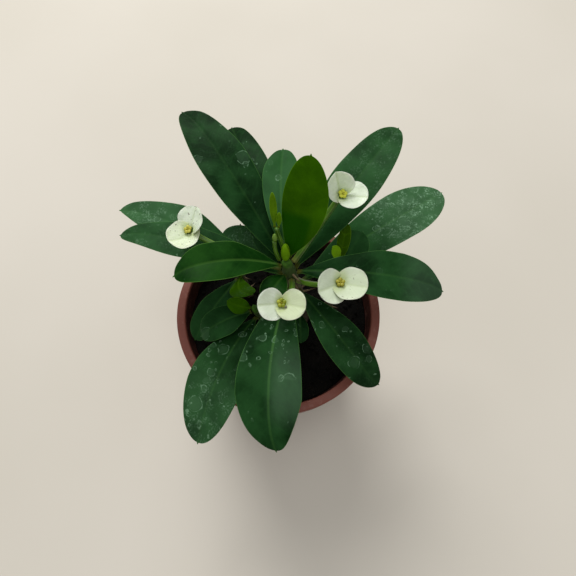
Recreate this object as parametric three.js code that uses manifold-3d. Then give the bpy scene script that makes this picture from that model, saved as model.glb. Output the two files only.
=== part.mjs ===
// A crown of thorns plant (Euphorbia milii) in a round plastic nursery pot.
// Millimetres, +Z up. The origin is the middle of the pot's underside, and the front of the plant faces -Y.
import * as THREE from 'three';
import { mergeVertices } from 'three/addons/utils/BufferGeometryUtils.js';
import Module from 'manifold-3d';

const wasm = await Module();
wasm.setup();

// ---------------------------------------------------------------- driving dimensions
const RIM_RADIUS = 60; // outer edge of the pot's rim
const POT_HEIGHT = 104;
const RIM_BAND = 4.8; // width of the flat ring on top of the rim
const SKIRT_DROP = 15; // the rim's outer skirt hangs this far down
const WALL = 1.8; // wall thickness of the moulded plastic
const FLOOR_THICKNESS = 2.2;
const FOOT_RADIUS = 42; // outer radius of the pot's underside
const DRAIN_HOLES = 6;
const DRAIN_RADIUS = 4;
const DRAIN_CIRCLE = 29; // the drain holes stand on a circle of this radius
const POT_SEGMENTS = 64;

const SOIL_LEVEL = 92; // height of the soil's edge above the table
const SOIL_CROWN = 1.6; // the soil is this much higher in the middle
const SOIL_SHOULDER = 36; // the heap falls away faster outside this radius
const SOIL_SEGMENTS = 40;
const GAP = 0.3; // clearance between touching pieces
const PLANTING_DEPTH = 14; // how far a stem goes down into the soil

const LEAF_STEPS = 9; // rings along a leaf
const LEAF_THICKNESS = 0.9;
const HOOK_START = 0.7; // where a leaf's tip starts to turn sideways
const LEAF_WEDGE = 1; // how narrow a leaf is towards its foot
const PETIOLE_RADIUS = 1.2;
const FOOT_GAP = 0.44; // from the stem's round surface to the middle of a leaf's flat foot
const BRACT_STEPS = 8;
const BRACT_THICKNESS = 0.6;
const BRACT_WIDEST = 0.4; // where a bract is widest, as a share of its length
const BRACT_WEDGE = 0.45;
const BRACT_BLUNT = 2;
const BRACT_FOOT = 0.5;
const BRACT_SETTLE = 0.04;
const STALK_RADIUS = 1.5;
const THIN_STALK_RADIUS = 1;
const STALK_STEPS = 7;
const STALK_SIDES = 7;
const HEAD_BEND = 7; // a stalk's last bend starts this far under its flower

const UP = new THREE.Vector3(0, 0, 1);

// ---------------------------------------------------------------- materials
const material = (color, roughness) => new THREE.MeshStandardMaterial({ color, roughness, metalness: 0 });
const PLASTIC = material(0x83574f, 0.55);
const SOIL = material(0x0d0b09, 0.95);
const BARK = material(0x5b5a44, 0.8);
const DARK_LEAF = material(0x1b3d20, 0.4);
const MID_LEAF = material(0x1d4a18, 0.4);
const YOUNG_LEAF = material(0x335f08, 0.45);
const STALK = material(0x3f6418, 0.5);
const BRACT = material(0xd3dcc3, 0.6);
const CUP = material(0x9a9a22, 0.6);

// ---------------------------------------------------------------- solids
// Turns a three.js geometry into a solid that can be joined and cut.
function toSolid(geometry) {
  const bare = geometry.clone();
  bare.deleteAttribute('normal');
  bare.deleteAttribute('uv');
  const merged = mergeVertices(bare, 1e-4);
  const mesh = new wasm.Mesh({
    numProp: 3,
    vertProperties: merged.attributes.position.array,
    triVerts: new Uint32Array(merged.index.array),
  });
  return new wasm.Manifold(mesh);
}

// Turns a solid back into a three.js geometry.
function toGeometry(solid) {
  const mesh = solid.getMesh();
  const geometry = new THREE.BufferGeometry();
  geometry.setAttribute('position', new THREE.BufferAttribute(mesh.vertProperties, 3));
  geometry.setIndex(new THREE.BufferAttribute(mesh.triVerts, 1));
  geometry.computeVertexNormals();
  return geometry;
}

// A capped cylinder whose points are moved: place(across, along, above) gives each point's new position,
// where along runs from 0 at the foot to 1 at the end, and (across, above) lies on the unit circle.
function reshapedCylinder(sides, steps, place) {
  const geometry = new THREE.CylinderGeometry(1, 1, 1, sides, steps);
  const points = geometry.attributes.position;
  for (let i = 0; i < points.count; i++) {
    const moved = place(points.getX(i), points.getY(i) + 0.5, points.getZ(i));
    points.setXYZ(i, moved.x, moved.y, moved.z);
  }
  geometry.computeVertexNormals();
  return geometry;
}

const smooth = THREE.MathUtils.smoothstep;
const lerp = THREE.MathUtils.lerp;
const radians = THREE.MathUtils.degToRad;

// ---------------------------------------------------------------- pot and soil
const outerRadiusAt = (z) => lerp(FOOT_RADIUS, RIM_RADIUS - RIM_BAND + WALL, z / POT_HEIGHT);
const innerRadiusAt = (z) => outerRadiusAt(z) - WALL;

function makePot() {
  const skirtFoot = POT_HEIGHT - SKIRT_DROP;
  const ledge = POT_HEIGHT - WALL;
  const profile = [
    [0, 0],
    [FOOT_RADIUS - 1.2, 0],
    [outerRadiusAt(1.2), 1.2],
    [outerRadiusAt(ledge - 1), ledge - 1],
    [outerRadiusAt(ledge) + 0.6, ledge],
    [RIM_RADIUS - WALL - 0.5, ledge],
    [RIM_RADIUS - WALL - 0.9, skirtFoot],
    [RIM_RADIUS - 0.9, skirtFoot],
    [RIM_RADIUS, POT_HEIGHT - 1],
    [RIM_RADIUS - 0.8, POT_HEIGHT],
    [RIM_RADIUS - RIM_BAND + 0.6, POT_HEIGHT],
    [innerRadiusAt(POT_HEIGHT - 1.2), POT_HEIGHT - 1.2],
    [innerRadiusAt(FLOOR_THICKNESS + 2), FLOOR_THICKNESS + 2],
    [innerRadiusAt(FLOOR_THICKNESS) - 2, FLOOR_THICKNESS],
    [0, FLOOR_THICKNESS],
  ];
  const points = profile.map(([r, z]) => new THREE.Vector2(r, z));
  let pot = toSolid(new THREE.LatheGeometry(points, POT_SEGMENTS).rotateX(Math.PI / 2));
  for (let i = 0; i < DRAIN_HOLES; i++) {
    const angle = (i + 0.5) * ((2 * Math.PI) / DRAIN_HOLES);
    const drill = new THREE.CylinderGeometry(DRAIN_RADIUS, DRAIN_RADIUS, 3 * FLOOR_THICKNESS, 16);
    drill.rotateX(Math.PI / 2);
    drill.translate(DRAIN_CIRCLE * Math.cos(angle), DRAIN_CIRCLE * Math.sin(angle), FLOOR_THICKNESS / 2);
    pot = pot.subtract(toSolid(drill));
  }
  return toGeometry(pot);
}

function makeSoil(stems) {
  const foot = FLOOR_THICKNESS + GAP;
  const profile = [
    [0, foot],
    [innerRadiusAt(foot) - 3, foot],
    [innerRadiusAt(foot + 3) - GAP, foot + 3],
    [innerRadiusAt(SOIL_LEVEL) - GAP, SOIL_LEVEL],
    [SOIL_SHOULDER, SOIL_LEVEL + 0.6 * SOIL_CROWN],
    [0, SOIL_LEVEL + SOIL_CROWN],
  ];
  const points = profile.map(([r, z]) => new THREE.Vector2(r, z));
  let soil = toSolid(new THREE.LatheGeometry(points, SOIL_SEGMENTS).rotateX(Math.PI / 2));
  for (const stem of stems) {
    soil = soil.subtract(toSolid(stemBody(stem, GAP)));
  }
  return toGeometry(soil);
}

// ---------------------------------------------------------------- stems and thorns
// A stem bends from foot to top, and narrows from its first radius to its last.
const STEM_FOOT = SOIL_LEVEL + SOIL_CROWN - PLANTING_DEPTH;
const STEMS = {
  main: { foot: [15.5, -1], bend: [12, 0.5, 122], top: [4.6, 5.5, 162], radii: [5, 3.1] },
  left: { foot: [-5, -3], bend: [-9, -4, 100], top: [-12.8, -5.2, 124], radii: [3, 2.4] },
  left_back: { foot: [-17, 13], bend: [-20, 15, 105], top: [-22.8, 16.6, 128.5], radii: [2.8, 2.1] },
  right: { foot: [27, 3], bend: [33.2, 4.8, 125], top: [33, 12.8, 148.5], radii: [2.5, 1.8] },
};
for (const stem of Object.values(STEMS)) {
  const points = [[...stem.foot, STEM_FOOT], stem.bend, stem.top];
  stem.curve = new THREE.QuadraticBezierCurve3(...points.map((point) => new THREE.Vector3(...point)));
}

const STEM_STEPS = 10; // rings along a stem
const STEM_SIDES = 10;
const TOP_TAPER = 0.35; // the last step of a stem narrows by this share

// The stem's radius at the fraction along of its length.
function stemRadius(stem, along) {
  const lastStep = Math.max(0, STEM_STEPS * (along - 1) + 1);
  return lerp(stem.radii[0], stem.radii[1], along) * (1 - TOP_TAPER * lastStep);
}

// The stem's middle and radius where it reaches the height z.
function stemAt(stem, z) {
  let low = 0;
  let high = 1;
  for (let i = 0; i < 30; i++) {
    const middle = (low + high) / 2;
    if (stem.curve.getPoint(middle).z < z) low = middle;
    else high = middle;
  }
  return { centre: stem.curve.getPoint(low), radius: stemRadius(stem, low) };
}

// The bare stem, or with extra the pocket that leaves that much room round it.
function stemBody(stem, extra = 0) {
  return reshapedCylinder(STEM_SIDES, STEM_STEPS, (across, along, above) => {
    const centre = stem.curve.getPoint(along);
    const tangent = stem.curve.getTangent(along);
    const side = new THREE.Vector3().crossVectors(tangent, new THREE.Vector3(0, 1, 0)).normalize();
    const front = new THREE.Vector3().crossVectors(side, tangent);
    const radius = stemRadius(stem, along) + extra;
    if (along < 0.01) centre.z -= extra;
    return centre.addScaledVector(side, across * radius).addScaledVector(front, above * radius);
  });
}

// Thorns as rows of [height, compass angle in degrees, length]; 0 degrees points along +X.
const THORNS = {
  main: [
    [98, -150, 7], [100, -120, 8], [101, 20, 7], [104, 50, 8], [106, 130, 7], [108, 165, 8],
    [113, -20, 8], [115, -48, 8], [118, 85, 7], [119, 115, 8], [122, -160, 8], [124, -130, 8],
    [128, 10, 9], [129, 38, 8], [132, -88, 8], [133, -62, 9], [136, 100, 8], [137, 176, 8],
    [143, -62, 9], [143, -8, 8], [146, -148, 8], [153, -52, 8],
  ],
  left: [[99, 60, 5], [101, -130, 5], [105, 110, 6], [107, -40, 6], [112, 30, 5], [113, 80, 5]],
  left_back: [[99, 40, 5], [103, -120, 5], [108, 150, 5], [112, 80, 5], [117, -20, 5]],
  right: [[100, -20, 5], [103, -120, 5], [110, 150, 5], [118, 60, 5], [126, -60, 5]],
};
const THORN_RADIUS = 0.9;
const THORN_RISE = 0.25; // how steeply a thorn points up
const THORN_ROOT = 0.5; // a thorn starts this share of the stem's radius from its middle

function makeStem(name) {
  const stem = STEMS[name];
  let solid = toSolid(stemBody(stem));
  for (const [z, degrees, length] of THORNS[name]) {
    const { centre, radius } = stemAt(stem, z);
    const angle = radians(degrees);
    const direction = new THREE.Vector3(Math.cos(angle), Math.sin(angle), THORN_RISE).normalize();
    const whole = length + (1 - THORN_ROOT) * radius;
    const thorn = new THREE.ConeGeometry(THORN_RADIUS, whole, 5);
    thorn.translate(0, whole / 2 + THORN_ROOT * radius, 0);
    thorn.applyQuaternion(new THREE.Quaternion().setFromUnitVectors(new THREE.Vector3(0, 1, 0), direction));
    thorn.translate(centre.x, centre.y, centre.z);
    solid = solid.add(toSolid(thorn));
  }
  return toGeometry(solid);
}

// ---------------------------------------------------------------- blades: leaves and bracts
// The half width of a blade: it grows from the foot to the widest place and then rounds off to the end.
// A larger wedge makes the foot narrower; a larger blunt keeps the blade wide for longer.
function bladeOutline(width, widest, wedge, blunt) {
  return (t) => {
    const rise = Math.sin((Math.PI / 2) * Math.min(t / widest, 1));
    const fall = Math.min(Math.max(t - widest, 0) / (1 - widest), 1);
    return (width / 2) * Math.pow(rise, wedge) * Math.sqrt(1 - Math.pow(fall, blunt));
  };
}

// A blade runs from base to tip. Its middle line bows towards its upper side by arch and sideways by sway,
// it is turned about its length by roll degrees, and its halves rise by fold degrees from the midrib.
// outline(t) is the half width at the fraction t of the length. The blade starts flat against its carrier
// and has taken up its own directions at the fraction settle. Its tip turns sideways by hook at the very end.
// The rings crowd towards both ends, and near the foot the left-hand and the right-hand margin reach back
// by lobes millimetres.
function makeBlade(shape) {
  const { base, tip, upwards, foot, arch, sway, roll, fold, outline, thickness, footSize, steps } = shape;
  const settle = shape.settle ?? 0.22;
  const hook = shape.hook ?? 0;
  const lobes = shape.lobes ?? [0, 0];
  const chord = new THREE.Vector3().subVectors(tip, base);
  const along = chord.clone().normalize();
  const side = new THREE.Vector3().crossVectors(along, upwards).normalize();
  side.applyAxisAngle(along, radians(roll));
  const up = new THREE.Vector3().crossVectors(side, along);
  const outwards = new THREE.Vector3().crossVectors(foot.up, foot.side);
  return reshapedCylinder(8, steps, (across, share, above) => {
    const t = (1 - Math.cos(Math.PI * share)) / 2;
    const bow = 4 * t * (1 - t);
    const slope = 4 * (1 - 2 * t);
    const centre = base.clone().addScaledVector(chord, t).addScaledVector(up, arch * bow);
    const hooked = hook * Math.pow(Math.max(t - HOOK_START, 0) / (1 - HOOK_START), 4);
    centre.addScaledVector(side, sway * bow + hooked);
    const tangent = chord.clone().addScaledVector(up, arch * slope).addScaledVector(side, sway * slope);
    const turn = smooth(t, 0, settle);
    const crossways = foot.side.clone().lerp(side, turn).normalize();
    const normal = new THREE.Vector3().crossVectors(side, tangent).normalize();
    normal.copy(foot.up.clone().lerp(normal, turn)).normalize();
    const half = Math.max(outline(t), footSize * (1 - turn), 0.3);
    const thick = lerp(footSize * 1.6, thickness, turn) * (t > 0.98 ? 0.5 : 1);
    const lift = Math.abs(across) * half * Math.sin(radians(fold));
    centre.addScaledVector(crossways, across * half * Math.cos(radians(fold)));
    const lobe = lobes[across < 0 ? 0 : 1] * Math.pow(Math.abs(across), 3);
    centre.addScaledVector(outwards, -lobe * Math.pow(1 - t, 2) * smooth(t, 0, 0.03));
    return centre.addScaledVector(normal, lift * turn + (above * thick) / 2);
  });
}

// Leaf rows: name, stem, height of its node, tip, width, arch, sway, roll, fold,
// place of the widest part, blunt, hook, material.
const LEAVES = [
  ['leaf_upper_left', 'main', 151, [-46.2, 84.4, 174], 24.6, 8, 0.2, 0, 5, 0.6, 1.9, -2.4, DARK_LEAF],
  ['leaf_top_left', 'main', 145, [-25, 87, 158], 22, 12, -1.5, 0, 5, 0.6, 2, 0, DARK_LEAF],
  ['leaf_top_middle', 'main', 157, [3.2, 60, 174], 18, 5, -2, 0, 8, 0.72, 2, 0, DARK_LEAF],
  ['leaf_young_upright', 'main', 160, [15.2, 34.2, 203], 20.4, 3, 2.7, 0, 8, 0.64, 1.9, 0, YOUNG_LEAF],
  ['leaf_upper_right', 'main', 149, [61.8, 74.6, 172], 24.4, 8, 0.5, 0, 5, 0.6, 1.8, 0, DARK_LEAF],
  ['leaf_right_back', 'main', 136, [95, 61.1, 133], 28.8, 2.4, -1.2, 0, 5, 0.69, 1.8, -0.6, DARK_LEAF],
  ['leaf_right', 'main', 152, [80.8, -4.8, 152], 25, 9, 0.3, 0, 6, 0.7, 1.5, 1.4, DARK_LEAF],
  ['leaf_left', 'main', 158, [-45.2, -5, 172], 19.5, 4, 2.6, 0, 8, 0.63, 2.2, -1.6, MID_LEAF],
  ['leaf_far_left_back', 'main', 143, [-84.1, 43.3, 146], 22, 10, 0.3, 0, 5, 0.62, 1.45, -1, DARK_LEAF],
  ['leaf_far_left_front', 'main', 147, [-79.2, 26.2, 152], 18.6, 7, 0.9, 0, 5, 0.62, 1.5, -2, DARK_LEAF],
  ['leaf_inner_left', 'main', 138, [-12, 37.5, 148], 16, 2, 0, 0, 5, 0.55, 2, 0, DARK_LEAF],
  ['leaf_front', 'main', 144, [-1.8, -78.8, 138], 30.8, 10, 4.9, 0, 5, 0.7, 1.5, -1.9, DARK_LEAF],
  ['leaf_front_right', 'main', 138, [50.9, -47.7, 122], 20.6, 9, 1, 0, 5, 0.6, 2, -1.8, DARK_LEAF],
  ['leaf_small_front', 'main', 112, [13, -20.5, 106], 9.5, 2, 0, 0, 5, 0.6, 2, 0, DARK_LEAF],
  ['leaf_inner_front', 'main', 153.5, [-5, -13.5, 156.5], 12.5, 3, 0, 0, 5, 0.6, 2, 0, MID_LEAF],
  ['leaf_low_left_inner', 'left', 119.5, [-42, -19.2, 116.4], 18, 7.4, -1.2, 6, 5, 0.54, 2, 0, DARK_LEAF],
  ['leaf_low_left_young', 'left', 122.3, [-27, -3, 128], 9.5, 2.4, 0, -36, 8, 0.55, 1.6, 0, YOUNG_LEAF],
  ['leaf_front_left', 'left', 113, [-39.8, -74.8, 117.5], 28.8, 8, 3.6, 0, 5, 0.62, 1.65, 0, DARK_LEAF],
  ['leaf_left_back', 'left_back', 122, [-20.6, 37.8, 138], 21, 3, 0, 0, 5, 0.62, 2.2, 0, DARK_LEAF],
  ['leaf_low_left_outer', 'left_back', 118, [-47, -19, 108], 16.5, 5, 0, 0, 5, 0.6, 2, 0, DARK_LEAF],
  ['leaf_low_left_curled', 'left_back', 122, [-14.6, 2.8, 122], 12, 1, 4.5, 0, 5, 0.62, 3.2, 0, YOUNG_LEAF],
  ['leaf_low_right_outer', 'right', 141.2, [43.6, 25, 153.4], 16.4, 2, 0, 0, 5, 0.6, 2, 0, DARK_LEAF],
  ['leaf_low_right_inner', 'right', 144, [35.2, 26, 160.4], 6.6, 1.5, -0.6, 0, 8, 0.6, 2, 0, YOUNG_LEAF],
  ['leaf_low_right_young', 'right', 145, [28.2, 16.8, 154.4], 5.8, 1, 0, 0, 8, 0.66, 2, 0, YOUNG_LEAF],
];

function makeLeaf([, stemName, nodeHeight, tipPoint, width, arch, sway, roll, fold, widest, blunt, hook]) {
  const node = stemAt(STEMS[stemName], nodeHeight);
  const tip = new THREE.Vector3(...tipPoint);
  const outwards = tip.clone().sub(node.centre).setZ(0).normalize();
  const base = node.centre.clone().addScaledVector(outwards, node.radius + FOOT_GAP);
  const foot = { side: new THREE.Vector3().crossVectors(outwards, UP), up: UP };
  const outline = bladeOutline(width, widest, LEAF_WEDGE, blunt);
  const footSize = Math.min(PETIOLE_RADIUS, 0.35 + 0.06 * width);
  const shape = { base, tip, upwards: UP, foot, arch, sway, roll, fold, hook, outline, footSize };
  return makeBlade({ ...shape, thickness: LEAF_THICKNESS, steps: LEAF_STEPS });
}

// ---------------------------------------------------------------- flowers
// Each flower has two bracts. Its stalk leaves the main stem at stemHeight and goes by way of the point via.
// Bract rows: tip, width, left-hand lobe, right-hand lobe, roll, fold, sway.
const FLOWERS = [
  {
    name: 'flower_upper_right', centre: [30.4, 31.3, 178], facing: [0.2, -0.25, 0.95],
    stemHeight: 156, via: [16, 15.5, 163],
    bracts: [[[26.8, 36.2, 189], 14.8, 5, 2.5, -12, 20, 0], [[42, 28.1, 181], 15, 2.5, 3.6, -12, 10, 0]],
  },
  {
    name: 'flower_right', centre: [29, -8.9, 169], facing: [0, -0.2, 0.97],
    stemHeight: 147, via: [17, -3, 150],
    bracts: [[[19, -14.2, 172], 16.4, 4.5, 4, -12, 13, 0], [[40.8, -12.3, 172], 16.4, 4.5, 5, -12, 12, 0]],
  },
  {
    name: 'flower_front', centre: [2.9, -19.1, 171], facing: [0, -0.25, 0.95],
    stemHeight: 150, via: [9, -9, 153],
    bracts: [[[-7.6, -20.7, 173], 14.6, 4, 3, -10, 12, 0], [[13.3, -22.1, 173], 14.6, 3, 4.2, -10, 12, 0]],
  },
  {
    name: 'flower_left', centre: [-41.3, 19.7, 165], facing: [-0.35, -0.1, 0.93],
    stemHeight: 155, via: [-18, 7.5, 157.5],
    bracts: [
      [[-50.6, 12.9, 168], 16.2, 7, 4, -9, 12, -1.5],
      [[-37.6, 29.4, 171], 19.2, 3.4, 3, -13, 12, -0.2],
    ],
  },
];
const BRACT_START = 1.9; // a bract starts this far from the middle of the flower
const CUP_RADIUS = 2.1;
const CUP_DEPTH = 2.8;

function makeBract(flower, number) {
  const [tipPoint, width, leftLobe, rightLobe, roll, fold, sway] = flower.bracts[number];
  const facing = new THREE.Vector3(...flower.facing).normalize();
  const centre = new THREE.Vector3(...flower.centre);
  const tip = new THREE.Vector3(...tipPoint);
  const outwards = tip.clone().sub(centre).projectOnPlane(facing).normalize();
  const base = centre.clone().addScaledVector(outwards, BRACT_START).addScaledVector(facing, GAP);
  const foot = { side: new THREE.Vector3().crossVectors(outwards, facing), up: facing };
  const outline = bladeOutline(width, BRACT_WIDEST, BRACT_WEDGE, BRACT_BLUNT);
  const pose = { base, tip, upwards: facing, foot, arch: 0, sway, roll, fold };
  const shape = { ...pose, outline, lobes: [leftLobe, rightLobe], settle: BRACT_SETTLE };
  return makeBlade({ ...shape, thickness: BRACT_THICKNESS, footSize: BRACT_FOOT, steps: BRACT_STEPS });
}

// The small cup in the middle of a flower, standing on the end of its stalk.
function makeCup(flower) {
  const profile = [
    [0, 0],
    [0.9, 0],
    [1.2, 1.2],
    [CUP_RADIUS, CUP_DEPTH - 0.6],
    [CUP_RADIUS - 0.5, CUP_DEPTH],
    [0.8, CUP_DEPTH - 0.4],
    [0, CUP_DEPTH - 0.2],
  ];
  const cup = new THREE.LatheGeometry(profile.map(([r, z]) => new THREE.Vector2(r, z)), 10);
  const facing = new THREE.Vector3(...flower.facing).normalize();
  cup.applyQuaternion(new THREE.Quaternion().setFromUnitVectors(new THREE.Vector3(0, 1, 0), facing));
  return cup.translate(...flower.centre);
}

// A round stalk along a curve through the given points.
function makeStalk(points, radius) {
  const disc = new THREE.Shape().absarc(0, 0, radius, 0, 2 * Math.PI);
  const path = new THREE.CubicBezierCurve3(...points);
  const settings = { extrudePath: path, steps: STALK_STEPS, curveSegments: STALK_SIDES };
  return new THREE.ExtrudeGeometry(disc, settings);
}

// Where a stalk that heads for the point next leaves the stem at the given height.
function leavingPoint(stem, z, next, radius) {
  const node = stemAt(stem, z);
  const heading = next.clone().sub(node.centre).normalize();
  const outwards = heading.clone().setZ(0).normalize();
  return node.centre.clone().addScaledVector(outwards, node.radius + GAP + heading.z * radius);
}

function makeFlowerStalk(flower) {
  const facing = new THREE.Vector3(...flower.facing).normalize();
  const end = new THREE.Vector3(...flower.centre).addScaledVector(facing, -GAP);
  const via = new THREE.Vector3(...flower.via);
  const below = end.clone().addScaledVector(facing, -HEAD_BEND);
  const start = leavingPoint(STEMS.main, flower.stemHeight, via, STALK_RADIUS);
  return makeStalk([start, via, below, end], STALK_RADIUS);
}

// ---------------------------------------------------------------- crown: sprig, bud and growing tip
const curvePoints = (rows) => rows.map((row) => new THREE.Vector3(...row));
const SPRIG = curvePoints([[3.6, 8.8, 160], [3.8, 11.5, 167], [1.4, 13, 171], [0.6, 14.6, 176.6]]);
const BUD_STALK = curvePoints([[1.5, 6.7, 160.8], [0.4, 6.8, 165], [-0.8, 8.4, 168.5], [-0.4, 10.4, 172]]);
const BUD = { middle: [-0.3, 11.3, 174.3], radii: [1.3, 1.3, 2.1], lean: 25 }; // lean in degrees
const SMALL_LEAF = { thickness: 0.8, footSize: 0.7, steps: 6 };
const SMALL_LEAF_WIDEST = 0.55;
const SMALL_LEAF_BLUNT = 2;
const GROWING_TIP = { middle: [4.5, 7.6, 166.6], radii: [2.3, 2.3, 4.6], lean: 30 };

// A small leaf that starts at a free point instead of on a stem.
function makeSmallLeaf(basePoint, tipPoint, width) {
  const base = new THREE.Vector3(...basePoint);
  const tip = new THREE.Vector3(...tipPoint);
  const outwards = tip.clone().sub(base).setZ(0).normalize();
  const foot = { side: new THREE.Vector3().crossVectors(outwards, UP), up: UP };
  const outline = bladeOutline(width, SMALL_LEAF_WIDEST, LEAF_WEDGE, SMALL_LEAF_BLUNT);
  const shape = { base, tip, upwards: UP, foot, arch: 0, sway: 0, roll: 0, fold: 10, outline };
  return makeBlade({ ...shape, ...SMALL_LEAF });
}

// A closed bud, which leans back by some degrees.
function makeBud({ middle, radii, lean }) {
  const bud = new THREE.SphereGeometry(1, 12, 8).rotateX(Math.PI / 2).scale(...radii);
  bud.rotateX(radians(-lean));
  return bud.translate(...middle);
}

// ---------------------------------------------------------------- the whole plant
const plant = new THREE.Group();
function put(name, geometry, look, parent = plant) {
  const mesh = new THREE.Mesh(geometry, look);
  mesh.name = name;
  parent.add(mesh);
}

put('pot', makePot(), PLASTIC);
put('soil', makeSoil(Object.values(STEMS)), SOIL);
put('main_stem', makeStem('main'), BARK);
put('left_shoot', makeStem('left'), BARK);
put('left_back_shoot', makeStem('left_back'), BARK);
put('right_shoot', makeStem('right'), BARK);

for (const row of LEAVES) put(row[0], makeLeaf(row), row.at(-1));

for (const flower of FLOWERS) {
  const group = new THREE.Group();
  put(flower.name + '_stalk', makeFlowerStalk(flower), STALK, group);
  put(flower.name + '_cup', makeCup(flower), CUP, group);
  put(flower.name + '_bract_a', makeBract(flower, 0), BRACT, group);
  put(flower.name + '_bract_b', makeBract(flower, 1), BRACT, group);
  plant.add(group);
}

put('sprig_stalk', makeStalk(SPRIG, THIN_STALK_RADIUS), STALK);
put('sprig_leaf_tall', makeSmallLeaf([-0.3, 14.9, 177.5], [-1.1, 23.7, 192], 3.4), YOUNG_LEAF);
put('sprig_leaf_short', makeSmallLeaf([1.5, 14.8, 177.5], [1.8, 18.3, 184.5], 2.6), YOUNG_LEAF);
put('bud_stalk', makeStalk(BUD_STALK, THIN_STALK_RADIUS), STALK);
put('bud', makeBud(BUD), STALK);
put('growing_tip', makeBud(GROWING_TIP), YOUNG_LEAF);

export default plant;
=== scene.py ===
# %% [markdown]
# # A crown of thorns plant in its pot
# Crown of thorns (Euphorbia milii) is a thorny succulent shrub. Long leathery leaves stand round the top of
# a spiny stem, and each flower is a pair of pale bracts round a small yellow cup. This lesson builds the
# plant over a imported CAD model. The CAD says where everything is, and Blender adds what makes it look
# alive: veins, thorns, soil crumbs, wax and water marks. Lengths are written in millimetres and turned into
# metres at the moment a mesh is made.

import math

import bmesh
import bpy
import numpy as np
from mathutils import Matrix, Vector, noise


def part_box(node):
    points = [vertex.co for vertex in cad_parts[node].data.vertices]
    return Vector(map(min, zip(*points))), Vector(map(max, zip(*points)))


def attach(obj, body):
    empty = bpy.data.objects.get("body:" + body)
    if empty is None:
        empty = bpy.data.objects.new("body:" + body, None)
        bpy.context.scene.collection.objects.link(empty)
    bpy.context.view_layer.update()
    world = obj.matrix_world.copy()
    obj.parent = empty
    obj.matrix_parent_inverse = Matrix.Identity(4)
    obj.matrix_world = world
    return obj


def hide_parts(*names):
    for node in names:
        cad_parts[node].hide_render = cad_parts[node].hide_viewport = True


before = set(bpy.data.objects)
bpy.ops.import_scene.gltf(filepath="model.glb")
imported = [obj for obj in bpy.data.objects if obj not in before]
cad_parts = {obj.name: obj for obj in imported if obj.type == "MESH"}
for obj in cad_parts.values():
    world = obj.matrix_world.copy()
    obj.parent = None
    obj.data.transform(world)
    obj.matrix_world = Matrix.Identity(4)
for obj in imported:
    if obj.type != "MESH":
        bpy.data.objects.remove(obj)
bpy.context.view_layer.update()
MM = 0.001

# %% [markdown]
# ## Small tools for shapes
# Leaves, stalks, stems and thorns are all skins stretched over rings of points, the way a ship's planks lie
# on its ribs. One function turns a stack of rings into a closed mesh, so every piece only has to say where
# its rings are. Arrays of points are quicker to move about than single vertices, so the shapes are worked
# out with numpy.

# %% Vector helpers
UP = np.array([0.0, 0.0, 1.0])


def unit(vectors):
    """Vectors of length one, along the last axis."""
    return vectors / np.linalg.norm(vectors, axis=-1, keepdims=True)


def smooth(value, low, high):
    """0 below low, 1 above high, and a soft step between."""
    share = np.clip((value - low) / (high - low), 0.0, 1.0)
    return share * share * (3 - 2 * share)


def lerp(start, end, share):
    """The value at a share of the way from start to end."""
    return start + (end - start) * share


def full_turn(steps):
    """The angles of evenly spaced points round a ring."""
    return np.linspace(0, 2 * np.pi, steps, endpoint=False)


# %% Turn points and faces into a piece of the plant
pieces = {}


def add_piece(name, points, faces, material, node=None, marks=None):
    """Makes a smooth mesh piece from points in millimetres. marks holds a number or vector for each point."""
    mesh = bpy.data.meshes.new(name)
    mesh.from_pydata((np.asarray(points) * MM).tolist(), [], faces)
    for label, values in (marks or {}).items():
        values = np.asarray(values, dtype=np.float32)
        kind, slot = ("FLOAT", "value") if values.ndim == 1 else ("FLOAT_VECTOR", "vector")
        mesh.attributes.new(label, kind, "POINT").data.foreach_set(slot, values.ravel())
    work = bmesh.new()
    work.from_mesh(mesh)
    bmesh.ops.remove_doubles(work, verts=work.verts, dist=1e-7)
    bmesh.ops.recalc_face_normals(work, faces=work.faces)
    work.to_mesh(mesh)
    work.free()
    mesh.shade_smooth()
    mesh.materials.append(material)
    piece = bpy.data.objects.new(name, mesh)
    bpy.context.scene.collection.objects.link(piece)
    if node:
        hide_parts(node)
    pieces[name] = piece
    return piece


def skin(rings):
    """Points and faces of a closed skin over rings of shape (rings, points in a ring, 3)."""
    rows, sides, _ = rings.shape
    row, side = np.meshgrid(np.arange(rows - 1), np.arange(sides), indexing="ij")
    here = row * sides + side
    beside = row * sides + (side + 1) % sides
    faces = np.stack([here, beside, beside + sides, here + sides], axis=-1).reshape(-1, 4).tolist()
    faces.append(list(range(sides)))
    faces.append(list(range((rows - 1) * sides, rows * sides)))
    return rings.reshape(-1, 3), faces


def circles_along(path, reference, sides):
    """A unit circle square to each point of a path, and the angles round it, which start from reference."""
    along = unit(np.gradient(path, axis=0))
    aside = unit(np.cross(along, reference))
    front = np.cross(aside, along)
    turn = full_turn(sides)
    return aside[:, None] * np.cos(turn)[:, None] + front[:, None] * np.sin(turn)[:, None], turn


def lathe(section, sides):
    """The rings of a section of [radius, height] points that is spun round the Z axis."""
    turn = full_turn(sides)
    radius, height = section[:, 0, None], section[:, 1, None]
    return np.stack([radius * np.cos(turn), radius * np.sin(turn), height + 0 * turn], axis=-1)


def turned(points, angle, first, second):
    """Points turned about the origin by an angle, from the first axis towards the second."""
    made = np.array(points, dtype=float)
    made[:, first] = points[:, first] * math.cos(angle) - points[:, second] * math.sin(angle)
    made[:, second] = points[:, first] * math.sin(angle) + points[:, second] * math.cos(angle)
    return made


def spun(section, sides):
    """A skin over a spun section that starts and ends on the axis, so that it needs no lids."""
    points, faces = skin(lathe(section, sides))
    return points, faces[:-2]


def join(parts):
    """Puts several (points, faces) pairs into one."""
    points, faces, start = [], [], 0
    for part_points, part_faces in parts:
        points.append(part_points)
        faces += [[corner + start for corner in face] for face in part_faces]
        start += len(part_points)
    return np.concatenate(points), faces


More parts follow.
